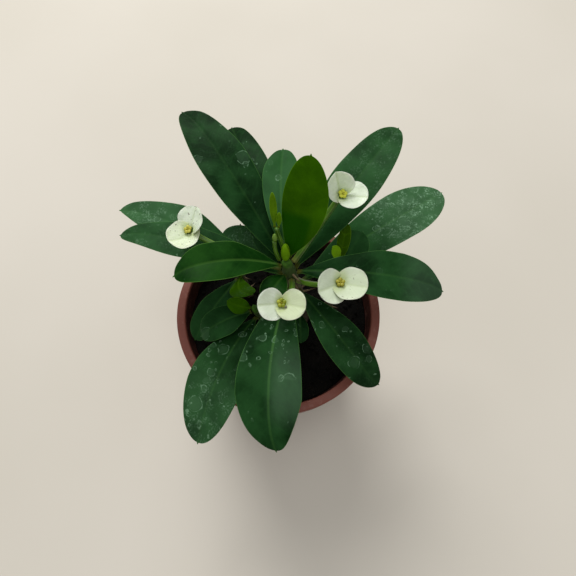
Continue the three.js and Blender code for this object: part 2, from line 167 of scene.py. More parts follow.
# %% [markdown]
# ## Small tools for materials
# A material is a little network of nodes. These helpers add a node and plug it in on one line, so that each
# recipe below reads in the order in which the colour is built up.

# %% Colour and node helpers


def paint(red, green, blue):
    """A colour written as 0 to 255 numbers, turned into the linear numbers that shaders use."""
    shares = [channel / 255 for channel in (red, green, blue)]
    linear = [s / 12.92 if s <= 0.04045 else ((s + 0.055) / 1.055) ** 2.4 for s in shares]
    return (*linear, 1.0)


def add(tree, kind, plugs=None, **settings):
    """Adds a node. A plug that is a socket gets a wire, and any other plug sets the input's value."""
    made = tree.nodes.new(kind)
    for label, value in settings.items():
        setattr(made, label, value)
    for label, value in (plugs or {}).items():
        if isinstance(value, bpy.types.NodeSocket):
            tree.links.new(value, made.inputs[label])
        else:
            made.inputs[label].default_value = value
    return made


def sums(tree, operation, first, second=0.0):
    """One Math node; returns its result."""
    return add(tree, "ShaderNodeMath", {0: first, 1: second}, operation=operation).outputs[0]


def times(tree, first, second):
    """Two masks or numbers multiplied."""
    return sums(tree, "MULTIPLY", first, second)


def strongest(tree, mask, *others):
    """The strongest of several masks at each point."""
    for other in others:
        mask = sums(tree, "MAXIMUM", mask, other)
    return mask


def fade(tree, value, low, high, start=0.0, end=1.0):
    """A soft step from start to end while value goes from low to high."""
    plugs = {"Value": value, "From Min": low, "From Max": high, "To Min": start, "To Max": end}
    return add(tree, "ShaderNodeMapRange", plugs, interpolation_type="SMOOTHSTEP").outputs["Result"]


def blend(tree, share, first, second):
    """Mixes two colours."""
    return add(tree, "ShaderNodeMix", {0: share, 6: first, 7: second}, data_type="RGBA").outputs[2]


def coats(tree, color, *layers):
    """Lays colours over a first one. Each layer is a mask and the colour that it brings."""
    for share, over in layers:
        color = blend(tree, share, color, over)
    return color


def grain(tree, place, scale, detail=2.0, roughness=0.5):
    """Soft noise from 0 to 1; scale is the number of lumps to a unit of place."""
    plugs = {"Vector": place, "Scale": scale, "Detail": detail, "Roughness": roughness}
    return add(tree, "ShaderNodeTexNoise", plugs).outputs["Fac"]


def mark(tree, label, output="Fac"):
    """A number that was stored on the mesh, or with the output "Vector" a stored vector."""
    return add(tree, "ShaderNodeAttribute", attribute_name=label).outputs[output]


def place_on_object(tree):
    """The point's place in the piece, in metres."""
    return add(tree, "ShaderNodeTexCoord").outputs["Object"]


def uneven(tree, tones, smoothest, roughest, low=0.2, high=0.8):
    """A roughness that wavers with the fine speckles of a cloudy tone."""
    return fade(tree, tones["Fine"], low, high, smoothest, roughest)


def new_material(name, **constants):
    """An empty material: its tree and its Principled shader, with constants on the shader's own sockets."""
    material = bpy.data.materials.new(name)
    material.use_nodes = True
    tree = material.node_tree
    shader = tree.nodes["Principled BSDF"]
    for label, value in constants.items():
        shader.inputs[label.replace("_", " ")].default_value = value
    print("material:", name)
    return material, tree, shader


def finish_material(tree, shader, color, roughness, height, strength, distance):
    """Wires colour, roughness and a bump height, in metres of distance, into the shader."""
    bump = add(tree, "ShaderNodeBump", {"Height": height, "Strength": strength, "Distance": distance})
    tree.links.new(color, shader.inputs["Base Color"])
    tree.links.new(roughness, shader.inputs["Roughness"])
    tree.links.new(bump.outputs["Normal"], shader.inputs["Normal"])


def new_group(name, inputs, outputs):
    """A shader node group with named sockets; returns its tree, what it is given and what it puts out."""
    tree = bpy.data.node_groups.new(name, "ShaderNodeTree")
    for label, kind in inputs.items():
        tree.interface.new_socket(label, in_out="INPUT", socket_type="NodeSocket" + kind)
    for label, kind in outputs.items():
        tree.interface.new_socket(label, in_out="OUTPUT", socket_type="NodeSocket" + kind)
    print("group:", name, "turns", ", ".join(inputs), "into", ", ".join(outputs))
    return tree, tree.nodes.new("NodeGroupInput").outputs, tree.nodes.new("NodeGroupOutput").inputs


def use_group(tree, group, plugs):
    """Places a node group in a material and returns its outputs."""
    return add(tree, "ShaderNodeGroup", plugs, node_tree=group).outputs


# %% [markdown]
# ## Three effects that many pieces share
# Nothing that grows or is handled has one flat colour. The first group gives slow, cloudy change of tone
# with fine speckles in it, and every material here uses it with its own scale. The other two give the marks
# of dried tap water: thin pale rings with a faint film inside, and patches of powdery lime. They could be
# painted by hand, but a cell pattern (Voronoi) does it on any leaf: each cell is one drop, the distance
# from the cell's middle draws the ring, and the cell's random colour decides how big the drop was and
# whether it fell at all.

# %% Group: cloudy tone with speckles
tree, given, result = new_group(
    "cloudy tone",
    {"Place": "Vector", "Scale": "Float", "Speckle": "Float"},
    {"Tone": "Float", "Fine": "Float"},
)
clouds = fade(tree, grain(tree, given["Place"], given["Scale"], 3.0), 0.3, 0.7)
specks = grain(tree, given["Place"], times(tree, given["Scale"], 14.0))
speckle = times(tree, sums(tree, "SUBTRACT", specks, 0.5), given["Speckle"])
tree.links.new(sums(tree, "ADD", clouds, speckle), result["Tone"])
tree.links.new(specks, result["Fine"])
cloudy = tree

# %% Group: dried water marks
tree, given, result = new_group(
    "dried water marks",
    {"Chart": "Vector", "Amount": "Float", "Drop Size": "Float"},
    {"Ring": "Float", "Film": "Float"},
)
wobble = add(tree, "ShaderNodeTexNoise", {"Vector": given["Chart"], "Scale": 0.35, "Detail": 3.0})
shift = add(tree, "ShaderNodeVectorMath", {0: wobble.outputs["Color"], "Scale": 2.6}, operation="SCALE")
bent = add(tree, "ShaderNodeVectorMath", {0: given["Chart"], 1: shift.outputs[0]}, operation="ADD")
cell_scale = sums(tree, "DIVIDE", 1.0, given["Drop Size"])
drops = add(tree, "ShaderNodeTexVoronoi", {"Vector": bent.outputs[0], "Scale": cell_scale})
chance = add(tree, "ShaderNodeSeparateColor", {"Color": drops.outputs["Color"]})
drop_radius = fade(tree, chance.outputs["Red"], 0.0, 1.0, 0.14, 0.4)
off_ring = sums(tree, "SUBTRACT", drops.outputs["Distance"], drop_radius)
line_width = sums(tree, "DIVIDE", 0.28, given["Drop Size"])
ring = fade(tree, sums(tree, "DIVIDE", sums(tree, "ABSOLUTE", off_ring), line_width), 0.2, 1.0, 1.0, 0.0)
inside = fade(tree, off_ring, -0.1, 0.0, 1.0, 0.0)
fell = fade(tree, sums(tree, "SUBTRACT", given["Amount"], chance.outputs["Green"]), -0.02, 0.02)
broken = fade(tree, wobble.outputs["Fac"], 0.42, 0.62, 0.15, 1.0)
tree.links.new(times(tree, times(tree, ring, fell), broken), result["Ring"])
tree.links.new(times(tree, inside, fell), result["Film"])
water_marks = tree

# %% Group: powdery lime
tree, given, result = new_group("powdery lime", {"Chart": "Vector", "Amount": "Float"}, {"Powder": "Float"})
patches = fade(tree, grain(tree, given["Chart"], 0.2, 3.0), 0.42, 0.62)
dust = fade(tree, grain(tree, given["Chart"], 1.1, 4.0, 0.7), 0.47, 0.66)
tree.links.new(times(tree, times(tree, patches, dust), given["Amount"]), result["Powder"])
powder = tree

# %% [markdown]
# ## The pot
# The pot is thin moulded plastic: a tapered wall, and a flat rim whose outer skirt hangs down like an
# upturned gutter. It is a round thing, so its section is drawn once and spun. The corners of the section
# are rounded off with small arcs first, because a moulding has no knife edges and the rim's highlights come
# from them.

# %% The pot's sizes, from its solid
pot_low, pot_high = (np.array(corner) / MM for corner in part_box("pot"))
RIM_RADIUS = (pot_high[0] - pot_low[0]) / 2
POT_HEIGHT = pot_high[2]
RIM_BAND = 4.8  # width of the flat ring on top of the rim
SKIRT_DROP = 15.0  # how far the rim's outer skirt hangs down
WALL = 1.8
FLOOR_THICKNESS = 2.2
FOOT_RADIUS = 42.0
SOIL_LEVEL = 92.0  # height of the soil's edge
print(f"rim radius {RIM_RADIUS:.1f} mm, height {POT_HEIGHT:.1f} mm")


def outer_radius(z):
    """The radius of the tapered wall's outside at a height."""
    return lerp(FOOT_RADIUS, RIM_RADIUS - RIM_BAND + WALL, z / POT_HEIGHT)


def inner_radius(z):
    """The radius of the wall's inside at a height."""
    return outer_radius(z) - WALL


# %% Round the corners of a section


def rounded(corners, radius, steps=4):
    """Replaces each inner corner of a section by a small curve that starts radius before it."""
    corners = np.array(corners, dtype=float)
    line = [corners[0]]
    for before, corner, after in zip(corners, corners[1:], corners[2:]):
        reach = min(radius, np.linalg.norm(before - corner) / 2.1, np.linalg.norm(after - corner) / 2.1)
        start = corner + unit(before - corner) * reach
        end = corner + unit(after - corner) * reach
        for share in np.linspace(0, 1, steps + 1):
            line.append(lerp(lerp(start, corner, share), lerp(corner, end, share), share))
    line.append(corners[-1])
    return np.array(line)


# %% Pot material: brown moulded plastic
pot_plastic, tree, shader = new_material("pot_plastic", Specular_IOR_Level=0.22)
place = place_on_object(tree)
tones = use_group(tree, cloudy, {"Place": place, "Scale": 22.0, "Speckle": 0.35})
height_mm = times(tree, add(tree, "ShaderNodeSeparateXYZ", {0: place}).outputs["Z"], 1 / MM)
inner_face = mark(tree, "inside")
near_soil = times(tree, fade(tree, height_mm, SOIL_LEVEL, POT_HEIGHT - 1.0, 0.75, 0.0), inner_face)
splashes = times(tree, near_soil, fade(tree, grain(tree, place, 160.0, 4.0), 0.4, 0.62))
dust = times(tree, fade(tree, grain(tree, place, 420.0), 0.56, 0.72), 0.14)
plastic = coats(
    tree,
    blend(tree, tones["Tone"], paint(109, 60, 50), paint(123, 72, 61)),
    # the inside of the wall is painted darker: painted shade down in the pot
    (times(tree, inner_face, 0.8), paint(32, 14, 10)),
    (splashes, paint(24, 16, 12)),
    (dust, paint(160, 126, 114)),
)
finish_material(tree, shader, plastic, uneven(tree, tones, 0.42, 0.58, 0.3, 0.7), tones["Fine"], 0.25, 0.0002)

# %% Spin the pot and drill its drain holes
POT_SIDES = 160
DRAIN_HOLES = 6
DRAIN_RADIUS = 4.0
DRAIN_CIRCLE = 29.0  # the holes stand on a circle of this radius
DRILL_SIDES = 32
CORNER_RADIUS = 0.9
LIP_ROWS = 6  # rows of the section that round the rim's inner edge


def pot_section():
    """The pot's section from the middle of its underside, up the outside and down the inside."""
    ledge, skirt_foot = POT_HEIGHT - WALL, POT_HEIGHT - SKIRT_DROP
    outside = [
        [0, 0.6],
        [FOOT_RADIUS - 5, 0.6],
        [FOOT_RADIUS - 6, 0],
        [FOOT_RADIUS, 0],
        [outer_radius(18), 18],
        [outer_radius(19) - 0.5, 19],
        [outer_radius(ledge - 1) - 0.3, ledge - 1],
        [outer_radius(ledge) + 0.6, ledge],
        [RIM_RADIUS - WALL - 0.5, ledge],
        [RIM_RADIUS - WALL - 0.9, skirt_foot],
        [RIM_RADIUS - 0.9, skirt_foot],
        [RIM_RADIUS, POT_HEIGHT],
        [RIM_RADIUS - RIM_BAND - 0.2, POT_HEIGHT],
    ]
    inside = [
        [inner_radius(POT_HEIGHT - 3), POT_HEIGHT - 3],
        [inner_radius(FLOOR_THICKNESS), FLOOR_THICKNESS],
        [0, FLOOR_THICKNESS],
    ]
    return rounded(outside + inside, CORNER_RADIUS)


section = pot_section()
rim_top = int(np.argmax(section[:, 1] > POT_HEIGHT - 0.01))
row_of_point = np.repeat(np.arange(len(section)), POT_SIDES)
marks = {"inside": row_of_point > rim_top + LIP_ROWS}
pot_shell = add_piece("pot_shell", *spun(section, POT_SIDES), pot_plastic, "pot", marks)
drill = lathe(np.array([[DRAIN_RADIUS, -2.0], [DRAIN_RADIUS, 5.0]]), DRILL_SIDES)
drills = []
for hole in range(DRAIN_HOLES):
    turn = (hole + 0.5) * 2 * np.pi / DRAIN_HOLES
    drills.append(skin(drill + DRAIN_CIRCLE * np.array([np.cos(turn), np.sin(turn), 0])))
drill_bits = add_piece("drill_bits", *join(drills), pot_plastic)
cut = pot_shell.modifiers.new("drain holes", "BOOLEAN")
cut.operation = "DIFFERENCE"
cut.object = drill_bits
cut.solver = "EXACT"
drilled = bpy.data.meshes.new_from_object(pot_shell.evaluated_get(bpy.context.evaluated_depsgraph_get()))
pot_shell.modifiers.clear()
pot_shell.data = drilled
bpy.data.objects.remove(pieces.pop("drill_bits"))
print("pot shell:", len(drilled.polygons), "faces")

# %% [markdown]
# ## The soil
# Potting soil is peat and bark crumbs, dark when damp, and here it is painted nearly black, darker than its
# own colour, as painted shade for the shade down in the pot. A flat disc would look like felt, so the top
# is a fine polar grid that noise pushes up and down, and a few hundred loose crumbs and fibres lie on it.
# The crumbs are seeded, so the same ones fall in the same places on every run.

# %% Soil material
soil_dark, tree, shader = new_material("soil_dark", Specular_IOR_Level=0.1)
place = place_on_object(tree)
tones = use_group(tree, cloudy, {"Place": place, "Scale": 90.0, "Speckle": 0.8})
# nearly black earth: darker than its own colour, as painted shade for the shade in the pot
earth = blend(tree, tones["Tone"], paint(4, 4, 3), paint(12, 10, 7))
pale_bits = fade(tree, grain(tree, place, 900.0, 1.0), 0.68, 0.74, 0.0, 0.3)
earth = blend(tree, pale_bits, earth, paint(52, 40, 30))
finish_material(tree, shader, earth, uneven(tree, tones, 0.8, 1.0), tones["Fine"], 0.8, 0.001)

# %% Heap the soil
SOIL_CROWN = 1.6  # the soil is this much higher in the middle
SOIL_RADIUS = 52  # about the radius of the soil's edge
SOIL_GAP = 0.35  # the soil's edge stays this far off the pot's wall
SOIL_SINK = 0.5  # the lumps stand on a level this much lower
LUMP_HEIGHT = 0.9
LUMPS_PER_MM = 0.16
CRUMB_HEIGHT = 0.35
CRUMBS_PER_MM = 0.75
SOIL_RINGS = 74
SOIL_SIDES = 220


def soil_height(x, y):
    """The soil's uneven top, in millimetres above the pot's foot."""
    radius = math.hypot(x, y)
    heap = SOIL_CROWN * (1 - (radius / SOIL_RADIUS) ** 2)
    lumps = LUMP_HEIGHT * noise.fractal(Vector((x, y, 3.1)) * LUMPS_PER_MM, 1.0, 2.0, 4)
    crumbs = CRUMB_HEIGHT * noise.noise(Vector((x, y, 9.7)) * CRUMBS_PER_MM)
    return SOIL_LEVEL + heap + lumps + crumbs - SOIL_SINK


soil_edge = inner_radius(SOIL_LEVEL) - SOIL_GAP
top_radii = np.linspace(soil_edge, 0.0, SOIL_RINGS)
soil_foot = FLOOR_THICKNESS + 0.3
top_section = np.stack([top_radii, np.full(SOIL_RINGS, SOIL_LEVEL)], axis=-1)
foot_section = np.array([[0, soil_foot], [inner_radius(FLOOR_THICKNESS) - 0.5, soil_foot]])
points, faces = spun(np.concatenate([foot_section, top_section]), SOIL_SIDES)
for point in points[2 * SOIL_SIDES:]:
    point[2] = soil_height(point[0], point[1])
add_piece("soil_bed", points, faces, soil_dark, "soil")
print(f"soil bed: {len(faces)} faces, {soil_edge:.1f} mm in radius")

# %% Scatter crumbs and fibres
chooser = np.random.default_rng(41)
CRUMBS = 420
FIBRES = 70
FIBRE_JOINTS = 9
FIBRE_RADIUS = 0.16


def crumb(middle, size):
    """A small irregular lump: a ball whose points are pushed in and out."""
    work = bmesh.new()
    bmesh.ops.create_icosphere(work, subdivisions=2, radius=1.0)
    ball = np.array([point.co for point in work.verts])
    faces = [[corner.index for corner in face.verts] for face in work.faces]
    work.free()
    stretch = chooser.uniform(0.6, 1.3, 3) * size
    push = 1 + 0.35 * np.sin(ball @ chooser.uniform(-4, 4, (3, 1)) + chooser.uniform(0, 6))
    return middle + ball * push * stretch, faces


def fibre(start, length):
    """A short bent strand lying on the soil."""
    heading = chooser.uniform(0, 2 * np.pi) + np.cumsum(chooser.normal(0, 0.35, FIBRE_JOINTS))
    step = length / FIBRE_JOINTS * np.stack([np.cos(heading), np.sin(heading)], axis=-1)
    steps = np.pad(step, ((1, 0), (0, 1)))
    path = np.array([*start, 0]) + np.cumsum(steps, axis=0)
    path[:, 2] = [soil_height(x, y) + 0.35 for x, y, _ in path]
    across = unit(np.cross(unit(np.gradient(path, axis=0)), UP))
    turn = full_turn(5)[:, None]
    rings = path[:, None] + FIBRE_RADIUS * (across[:, None] * np.cos(turn) + UP * np.sin(turn))
    return skin(rings)


def soil_spot(reach):
    """A random place on the soil within reach of the middle."""
    turn, radius = chooser.uniform(0, 2 * np.pi), reach * math.sqrt(chooser.uniform(0, 1))
    return radius * math.cos(turn), radius * math.sin(turn)


litter = []
for _ in range(CRUMBS):
    x, y = soil_spot(soil_edge - 2.5)
    size = chooser.uniform(0.35, 1.0) ** 1.5 * 1.3
    litter.append(crumb(np.array([x, y, soil_height(x, y) + 0.2 * size]), size))
for _ in range(FIBRES):
    litter.append(fibre(soil_spot(soil_edge - 9), chooser.uniform(4, 8)))
soil_crumbs = add_piece("soil_crumbs", *join(litter), soil_dark)
print("soil:", CRUMBS, "crumbs and", FIBRES, "fibres")

# %% [markdown]
# ## Stems and thorns
# The stems are woody below and green towards the top, and thorns stand on them in rows on small swollen
# pads. Each stem follows the same gentle curve as its solid. A thorn could be a plain cone, but a real one
# is a slim horn that bends a little upwards and is darker at its point, so it is a skin of its own over
# shrinking rings, and the bark swells under it.

# %% The stems' curves, radii and thorns
STEMS = {
    "main": {"foot": (15.5, -1, 79.6), "bend": (12, 0.5, 122), "top": (4.6, 5.5, 162), "radii": (5, 3.1)},
    "left": {"foot": (-5, -3, 79.6), "bend": (-9, -4, 100), "top": (-12.8, -5.2, 124), "radii": (3, 2.4)},
    "left_back": {
        "foot": (-17, 13, 79.6), "bend": (-20, 15, 105), "top": (-22.8, 16.6, 128.5), "radii": (2.8, 2.1),
    },
    "right": {"foot": (27, 3, 79.6), "bend": (33.2, 4.8, 125), "top": (33, 12.8, 148.5), "radii": (2.5, 1.8)},
}
GREEN_REACH = 30  # the top millimetres of a stem that are still green
FRESH_REACH = 4  # the last of them are bright green
# Thorns as [height, compass angle in degrees, length].
THORNS = {
    "main": [
        [98, -150, 7], [100, -120, 8], [101, 20, 7], [104, 50, 8], [106, 130, 7], [108, 165, 8],
        [113, -20, 8], [115, -48, 8], [118, 85, 7], [119, 115, 8], [122, -160, 8], [124, -130, 8],
        [128, 10, 9], [129, 38, 8], [132, -88, 8], [133, -62, 9], [136, 100, 8], [137, 176, 8],
        [143, -62, 9], [143, -8, 8], [146, -148, 8], [153, -52, 8],
    ],
    "left": [[99, 60, 5], [101, -130, 5], [105, 110, 6], [107, -40, 6], [112, 30, 5], [113, 80, 5]],
    "left_back": [[99, 40, 5], [103, -120, 5], [108, 150, 5], [112, 80, 5], [117, -20, 5]],
    "right": [[100, -20, 5], [103, -120, 5], [110, 150, 5], [118, 60, 5], [126, -60, 5]],
}
STEM_NODES = {
    "main": "main_stem", "left": "left_shoot", "left_back": "left_back_shoot", "right": "right_shoot",
}
print("stem rows:", ", ".join(STEM_NODES.values()))


def stem_middle(stem, share):
    """The stem's middle line: a curve from foot to top that leans towards its bend."""
    foot, bend, top = (np.array(stem[label], dtype=float) for label in ("foot", "bend", "top"))
    share = np.asarray(share)[..., None]
    return lerp(lerp(foot, bend, share), lerp(bend, top, share), share)


def stem_radius(stem, share):
    """The stem narrows evenly, and its last tenth narrows faster, by a third."""
    return lerp(stem["radii"][0], stem["radii"][1], share) * (1 - 0.35 * np.clip(10 * share - 9, 0, 1))


def stem_at(stem, height):
    """The middle and radius of a stem at a height."""
    shares = np.linspace(0, 1, 2000)
    share = np.interp(height, stem_middle(stem, shares)[:, 2], shares)
    return stem_middle(stem, share), stem_radius(stem, share)


# %% Bark material
stem_bark, tree, shader = new_material("stem_bark", Specular_IOR_Level=0.3)
place = place_on_object(tree)
stretched = add(tree, "ShaderNodeMapping", {"Vector": place, "Scale": (1.0, 1.0, 0.35)}).outputs[0]
tones = use_group(tree, cloudy, {"Place": stretched, "Scale": 260.0, "Speckle": 0.6})
thorn_share = mark(tree, "thorn")
fresh_green = blend(tree, tones["Tone"], paint(44, 84, 12), paint(64, 108, 20))
horn = blend(tree, fade(tree, thorn_share, 0.3, 1.0), paint(120, 104, 78), paint(52, 34, 24))
bark = coats(
    tree,
    blend(tree, tones["Tone"], paint(54, 48, 36), paint(98, 90, 70)),
    (times(tree, mark(tree, "green"), 0.9), paint(50, 80, 24)),
    (mark(tree, "fresh"), fresh_green),
    (fade(tree, thorn_share, 0.02, 0.12), horn),
)
finish_material(tree, shader, bark, uneven(tree, tones, 0.55, 0.8), tones["Tone"], 0.7, 0.0006)

# %% Grow a stem and its thorns
STEM_SIDES = 40
STEM_RINGS = 170
STEM_RIBS = 5
DOME_SHARE = 0.015  # the last share of a stem closes in a dome
RIB_HEIGHT = 0.12
WRINKLE_HEIGHT = 0.1
PAD_HEIGHT = 0.45  # the bark swells this much under a thorn
PAD_LENGTH = 2.0
PAD_ANGLE = 0.45
THORN_RADIUS = 0.85
THORN_RISE = 0.25  # the point of a thorn is higher than its root by this share of its length
THORN_RINGS = 9
THORN_SIDES = 10
THORN_MARK = 0.13  # even a thorn's root has this mark, so that it isn't coloured as bark


def thorn_horn(centre, radius, degrees, length):
    """A slim horn that leaves the bark sideways and bends upwards; also each point's share of its length."""
    turn = math.radians(degrees)
    out = np.array([math.cos(turn), math.sin(turn), 0])
    aside = np.cross(out, UP)
    share = np.linspace(0, 1, THORN_RINGS)[:, None]
    sideways = 0.6 * radius + (length + 0.2 * radius) * share
    path = centre + out * sideways + UP * THORN_RISE * length * share ** 1.6
    width = (THORN_RADIUS * (1 - share[:, 0]) ** 0.8 + 0.03)[:, None, None]
    around = full_turn(THORN_SIDES)[:, None]
    rings = path[:, None] + width * (0.75 * aside * np.cos(around) + 1.15 * UP * np.sin(around))
    return skin(rings), np.repeat(np.maximum(share[:, 0], THORN_MARK), THORN_SIDES)


def grow_stem(name):
    """A stem of ribbed bark that swells under each thorn and closes in a dome, with its thorns."""
    stem, thorns = STEMS[name], THORNS[name]
    share = np.linspace(0, 1, STEM_RINGS)
    middle = stem_middle(stem, share)
    circle, turn = circles_along(middle, [0.0, 1.0, 0.0], STEM_SIDES)
    swell = RIB_HEIGHT * np.sin(STEM_RIBS * turn + 9 * share[:, None])
    swell = swell + WRINKLE_HEIGHT * np.sin(share[:, None] * 90 + 2 * np.cos(turn))
    for height, degrees, _ in thorns:
        off = np.angle(np.exp(1j * (turn - math.radians(degrees))))
        near = np.exp(-((middle[:, 2, None] - height) / PAD_LENGTH) ** 2 - (off / PAD_ANGLE) ** 2)
        swell = swell + PAD_HEIGHT * near
    radius = stem_radius(stem, share)[:, None] + swell
    closing = np.sqrt(np.clip(1 - (share - (1 - DOME_SHARE)) / DOME_SHARE, 0.02, 1))
    dome = np.where(share > 1 - DOME_SHARE, closing, 1)
    bark = skin(middle[:, None] + circle * radius[..., None] * dome[:, None, None])
    horns = [thorn_horn(*stem_at(stem, height), degrees, length) for height, degrees, length in thorns]
    below_top = np.repeat(middle[-1, 2] - middle[:, 2], STEM_SIDES)
    thorn_share = np.concatenate([0 * below_top, *(shares for _, shares in horns)])
    on_thorns = (0, len(thorn_share) - len(below_top))
    marks = {
        "thorn": thorn_share,
        "green": np.pad(1 - smooth(below_top, 0, GREEN_REACH), on_thorns),
        "fresh": np.pad(1 - smooth(below_top, 0.6 * FRESH_REACH, FRESH_REACH), on_thorns),
    }
    node = STEM_NODES[name]
    add_piece(node + "_bark", *join([bark, *(horn for horn, _ in horns)]), stem_bark, node, marks)


for name in STEMS:
    grow_stem(name)
print("stems:", len(STEMS), "thorns:", sum(len(rows) for rows in THORNS.values()))

# %% [markdown]
# ## Blades: leaves and bracts
# A leaf is a blade that leaves the stem flat, widens, and bows under its own weight. Its middle line bows
# towards the upper side by arch and to the right by sway, its halves rise from the midrib like an open book
# by fold, and a formula says how wide each half is at each place. Modelling each leaf by hand would give
# small differences, but a formula with its own numbers for each leaf gives them too, and every leaf can
# then have the same fine grid. Each point also remembers where it is on the blade (its chart, in
# millimetres), so that veins and water marks follow the leaf however it bends.

# %% Rings of a blade
MUCRO_RADIUS = 0.5  # the bristle at a leaf's very tip
HOOK_START = 0.7  # the share of the length where a tip starts to turn sideways
ROUND_TIP = (0.5, 0.5)  # a larger power makes that side of the tip more pointed


def blade_outline(width, widest, wedge, blunt, point=ROUND_TIP):
    """Half a blade's width: it grows to the widest place and rounds off. The powers are (left, right)."""

    def half_width(t, across):
        rise = np.sin(np.pi / 2 * np.minimum(t / widest, 1))
        fall = np.clip((t - widest) / (1 - widest), 0, 1)
        wedge_power, blunt_power, tip_power = (np.where(across < 0, *pair) for pair in (wedge, blunt, point))
        return width / 2 * rise ** wedge_power * np.clip(1 - fall ** blunt_power, 0, 1) ** tip_power

    return half_width


def blade_rings(shape, rows, sides):
    """The rings of a blade and, for each point, its marks: chart, edge, above and along."""
    base, tip = np.array(shape["base"], float), np.array(shape["tip"], float)
    chord = tip - base
    length = np.linalg.norm(chord)
    along = chord / length
    side = unit(np.cross(along, shape["upwards"]))
    roll = math.radians(shape.get("roll", 0))
    side = side * math.cos(roll) + np.cross(along, side) * math.sin(roll)
    up = np.cross(side, along)
    t = (1 - np.cos(np.pi * np.linspace(0, 1, rows))) / 2
    mucro = shape.get("mucro", 0) / length
    if mucro:
        t = np.append(t, 1 + mucro * np.linspace(0.15, 1, 6))
    t = t[:, None]
    bow, slope = 4 * t * (1 - t), 4 * (1 - 2 * t)
    arch, sway = shape.get("arch", 0), shape.get("sway", 0)
    hooked = shape.get("hook", 0) * (np.maximum(t - HOOK_START, 0) / (1 - HOOK_START)) ** 4
    middle = base + chord * t + up * arch * bow + side * (sway * bow + hooked)
    tangent = chord + up * arch * slope + side * sway * slope
    turn = smooth(t, 0, shape.get("settle", 0.22))
    crossways = unit(lerp(shape["foot_side"], side, turn))
    normal = unit(lerp(shape["foot_up"], unit(np.cross(side, tangent)), turn))
    around = full_turn(sides)
    across, above = np.cos(around), np.sin(around)
    half = np.maximum(np.maximum(shape["outline"](t, across), shape["foot_size"] * (1 - turn)), 0.04)
    if mucro:
        half = np.maximum(half, MUCRO_RADIUS * np.clip((1 + mucro - t) / mucro, 0, 1) ** 0.7)
    thick = lerp(shape["foot_size"] * 1.6, shape["thickness"], turn) * (1 - 0.6 * smooth(t, 0.9, 1))
    reach = across * half
    fold = math.radians(shape["fold"])
    lift = np.abs(reach) * math.sin(fold)
    relief = shape["relief"](t, across, half)
    depth = lift * turn + np.sign(above) * np.abs(above) ** 0.7 * thick / 2 + relief * turn
    rings = middle[:, None] + crossways[:, None] * (reach * math.cos(fold))[..., None]
    left_lobe, right_lobe = shape.get("lobes", (0, 0))
    back = np.where(across < 0, left_lobe, right_lobe) * np.abs(across) ** 3
    back = back * (1 - t) ** 2 * smooth(t, 0, 0.03)
    outwards = np.cross(shape["foot_up"], shape["foot_side"])
    rings = rings - outwards * back[..., None] + normal[:, None] * depth[..., None]
    chart = np.stack([t * length - back, reach, np.full_like(reach, shape["seed"])], axis=-1)
    marks = {
        "chart": chart.reshape(-1, 3),
        "edge": (half * (1 - np.abs(across))).ravel(),
        "above": (above + 0 * t).ravel(),
        "along": (t + 0 * above).ravel(),
    }
    return rings, marks


def fit_report(name, node):
    """How far a piece's box and its CAD node's box differ, in millimetres."""
    corners = np.array([point.co for point in pieces[name].data.vertices])
    low, high = (np.array(corner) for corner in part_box(node))
    return max(np.abs(corners.min(0) - low).max(), np.abs(corners.max(0) - high).max()) / MM


# %% [markdown]
# ### Leaf material
# A leaf's upper side is deep green and waxy. The midrib and the margin show as paler lines, the side veins
# as faint ones, and old leaves carry dried water marks and lime. The four kinds of leaf (dark, half grown,
# young and just opened) differ only in their colours, so one recipe makes all four. The veins are a group
# too, because the bracts have them as well.

# %% Group: leaf veins
tree, given, result = new_group(
    "leaf veins",
    {"Chart": "Vector", "Spacing": "Float", "Lean": "Float"},
    {"Midrib": "Float", "Veins": "Float"},
)
chart_xyz = add(tree, "ShaderNodeSeparateXYZ", {0: given["Chart"]}).outputs
off_middle = sums(tree, "ABSOLUTE", chart_xyz["Y"])
level = sums(tree, "SUBTRACT", chart_xyz["X"], times(tree, off_middle, given["Lean"]))
level = sums(tree, "ADD", level, times(tree, grain(tree, given["Chart"], 0.16), 7.0))
turn_share = sums(tree, "FRACT", sums(tree, "DIVIDE", level, given["Spacing"]))
off_vein = sums(tree, "ABSOLUTE", sums(tree, "SUBTRACT", turn_share, 0.5))
tree.links.new(fade(tree, off_vein, 0.0, 0.16, 1.0, 0.0), result["Veins"])
tree.links.new(fade(tree, off_middle, 0.15, 0.95, 1.0, 0.0), result["Midrib"])
veins = tree

# %% Leaf recipe


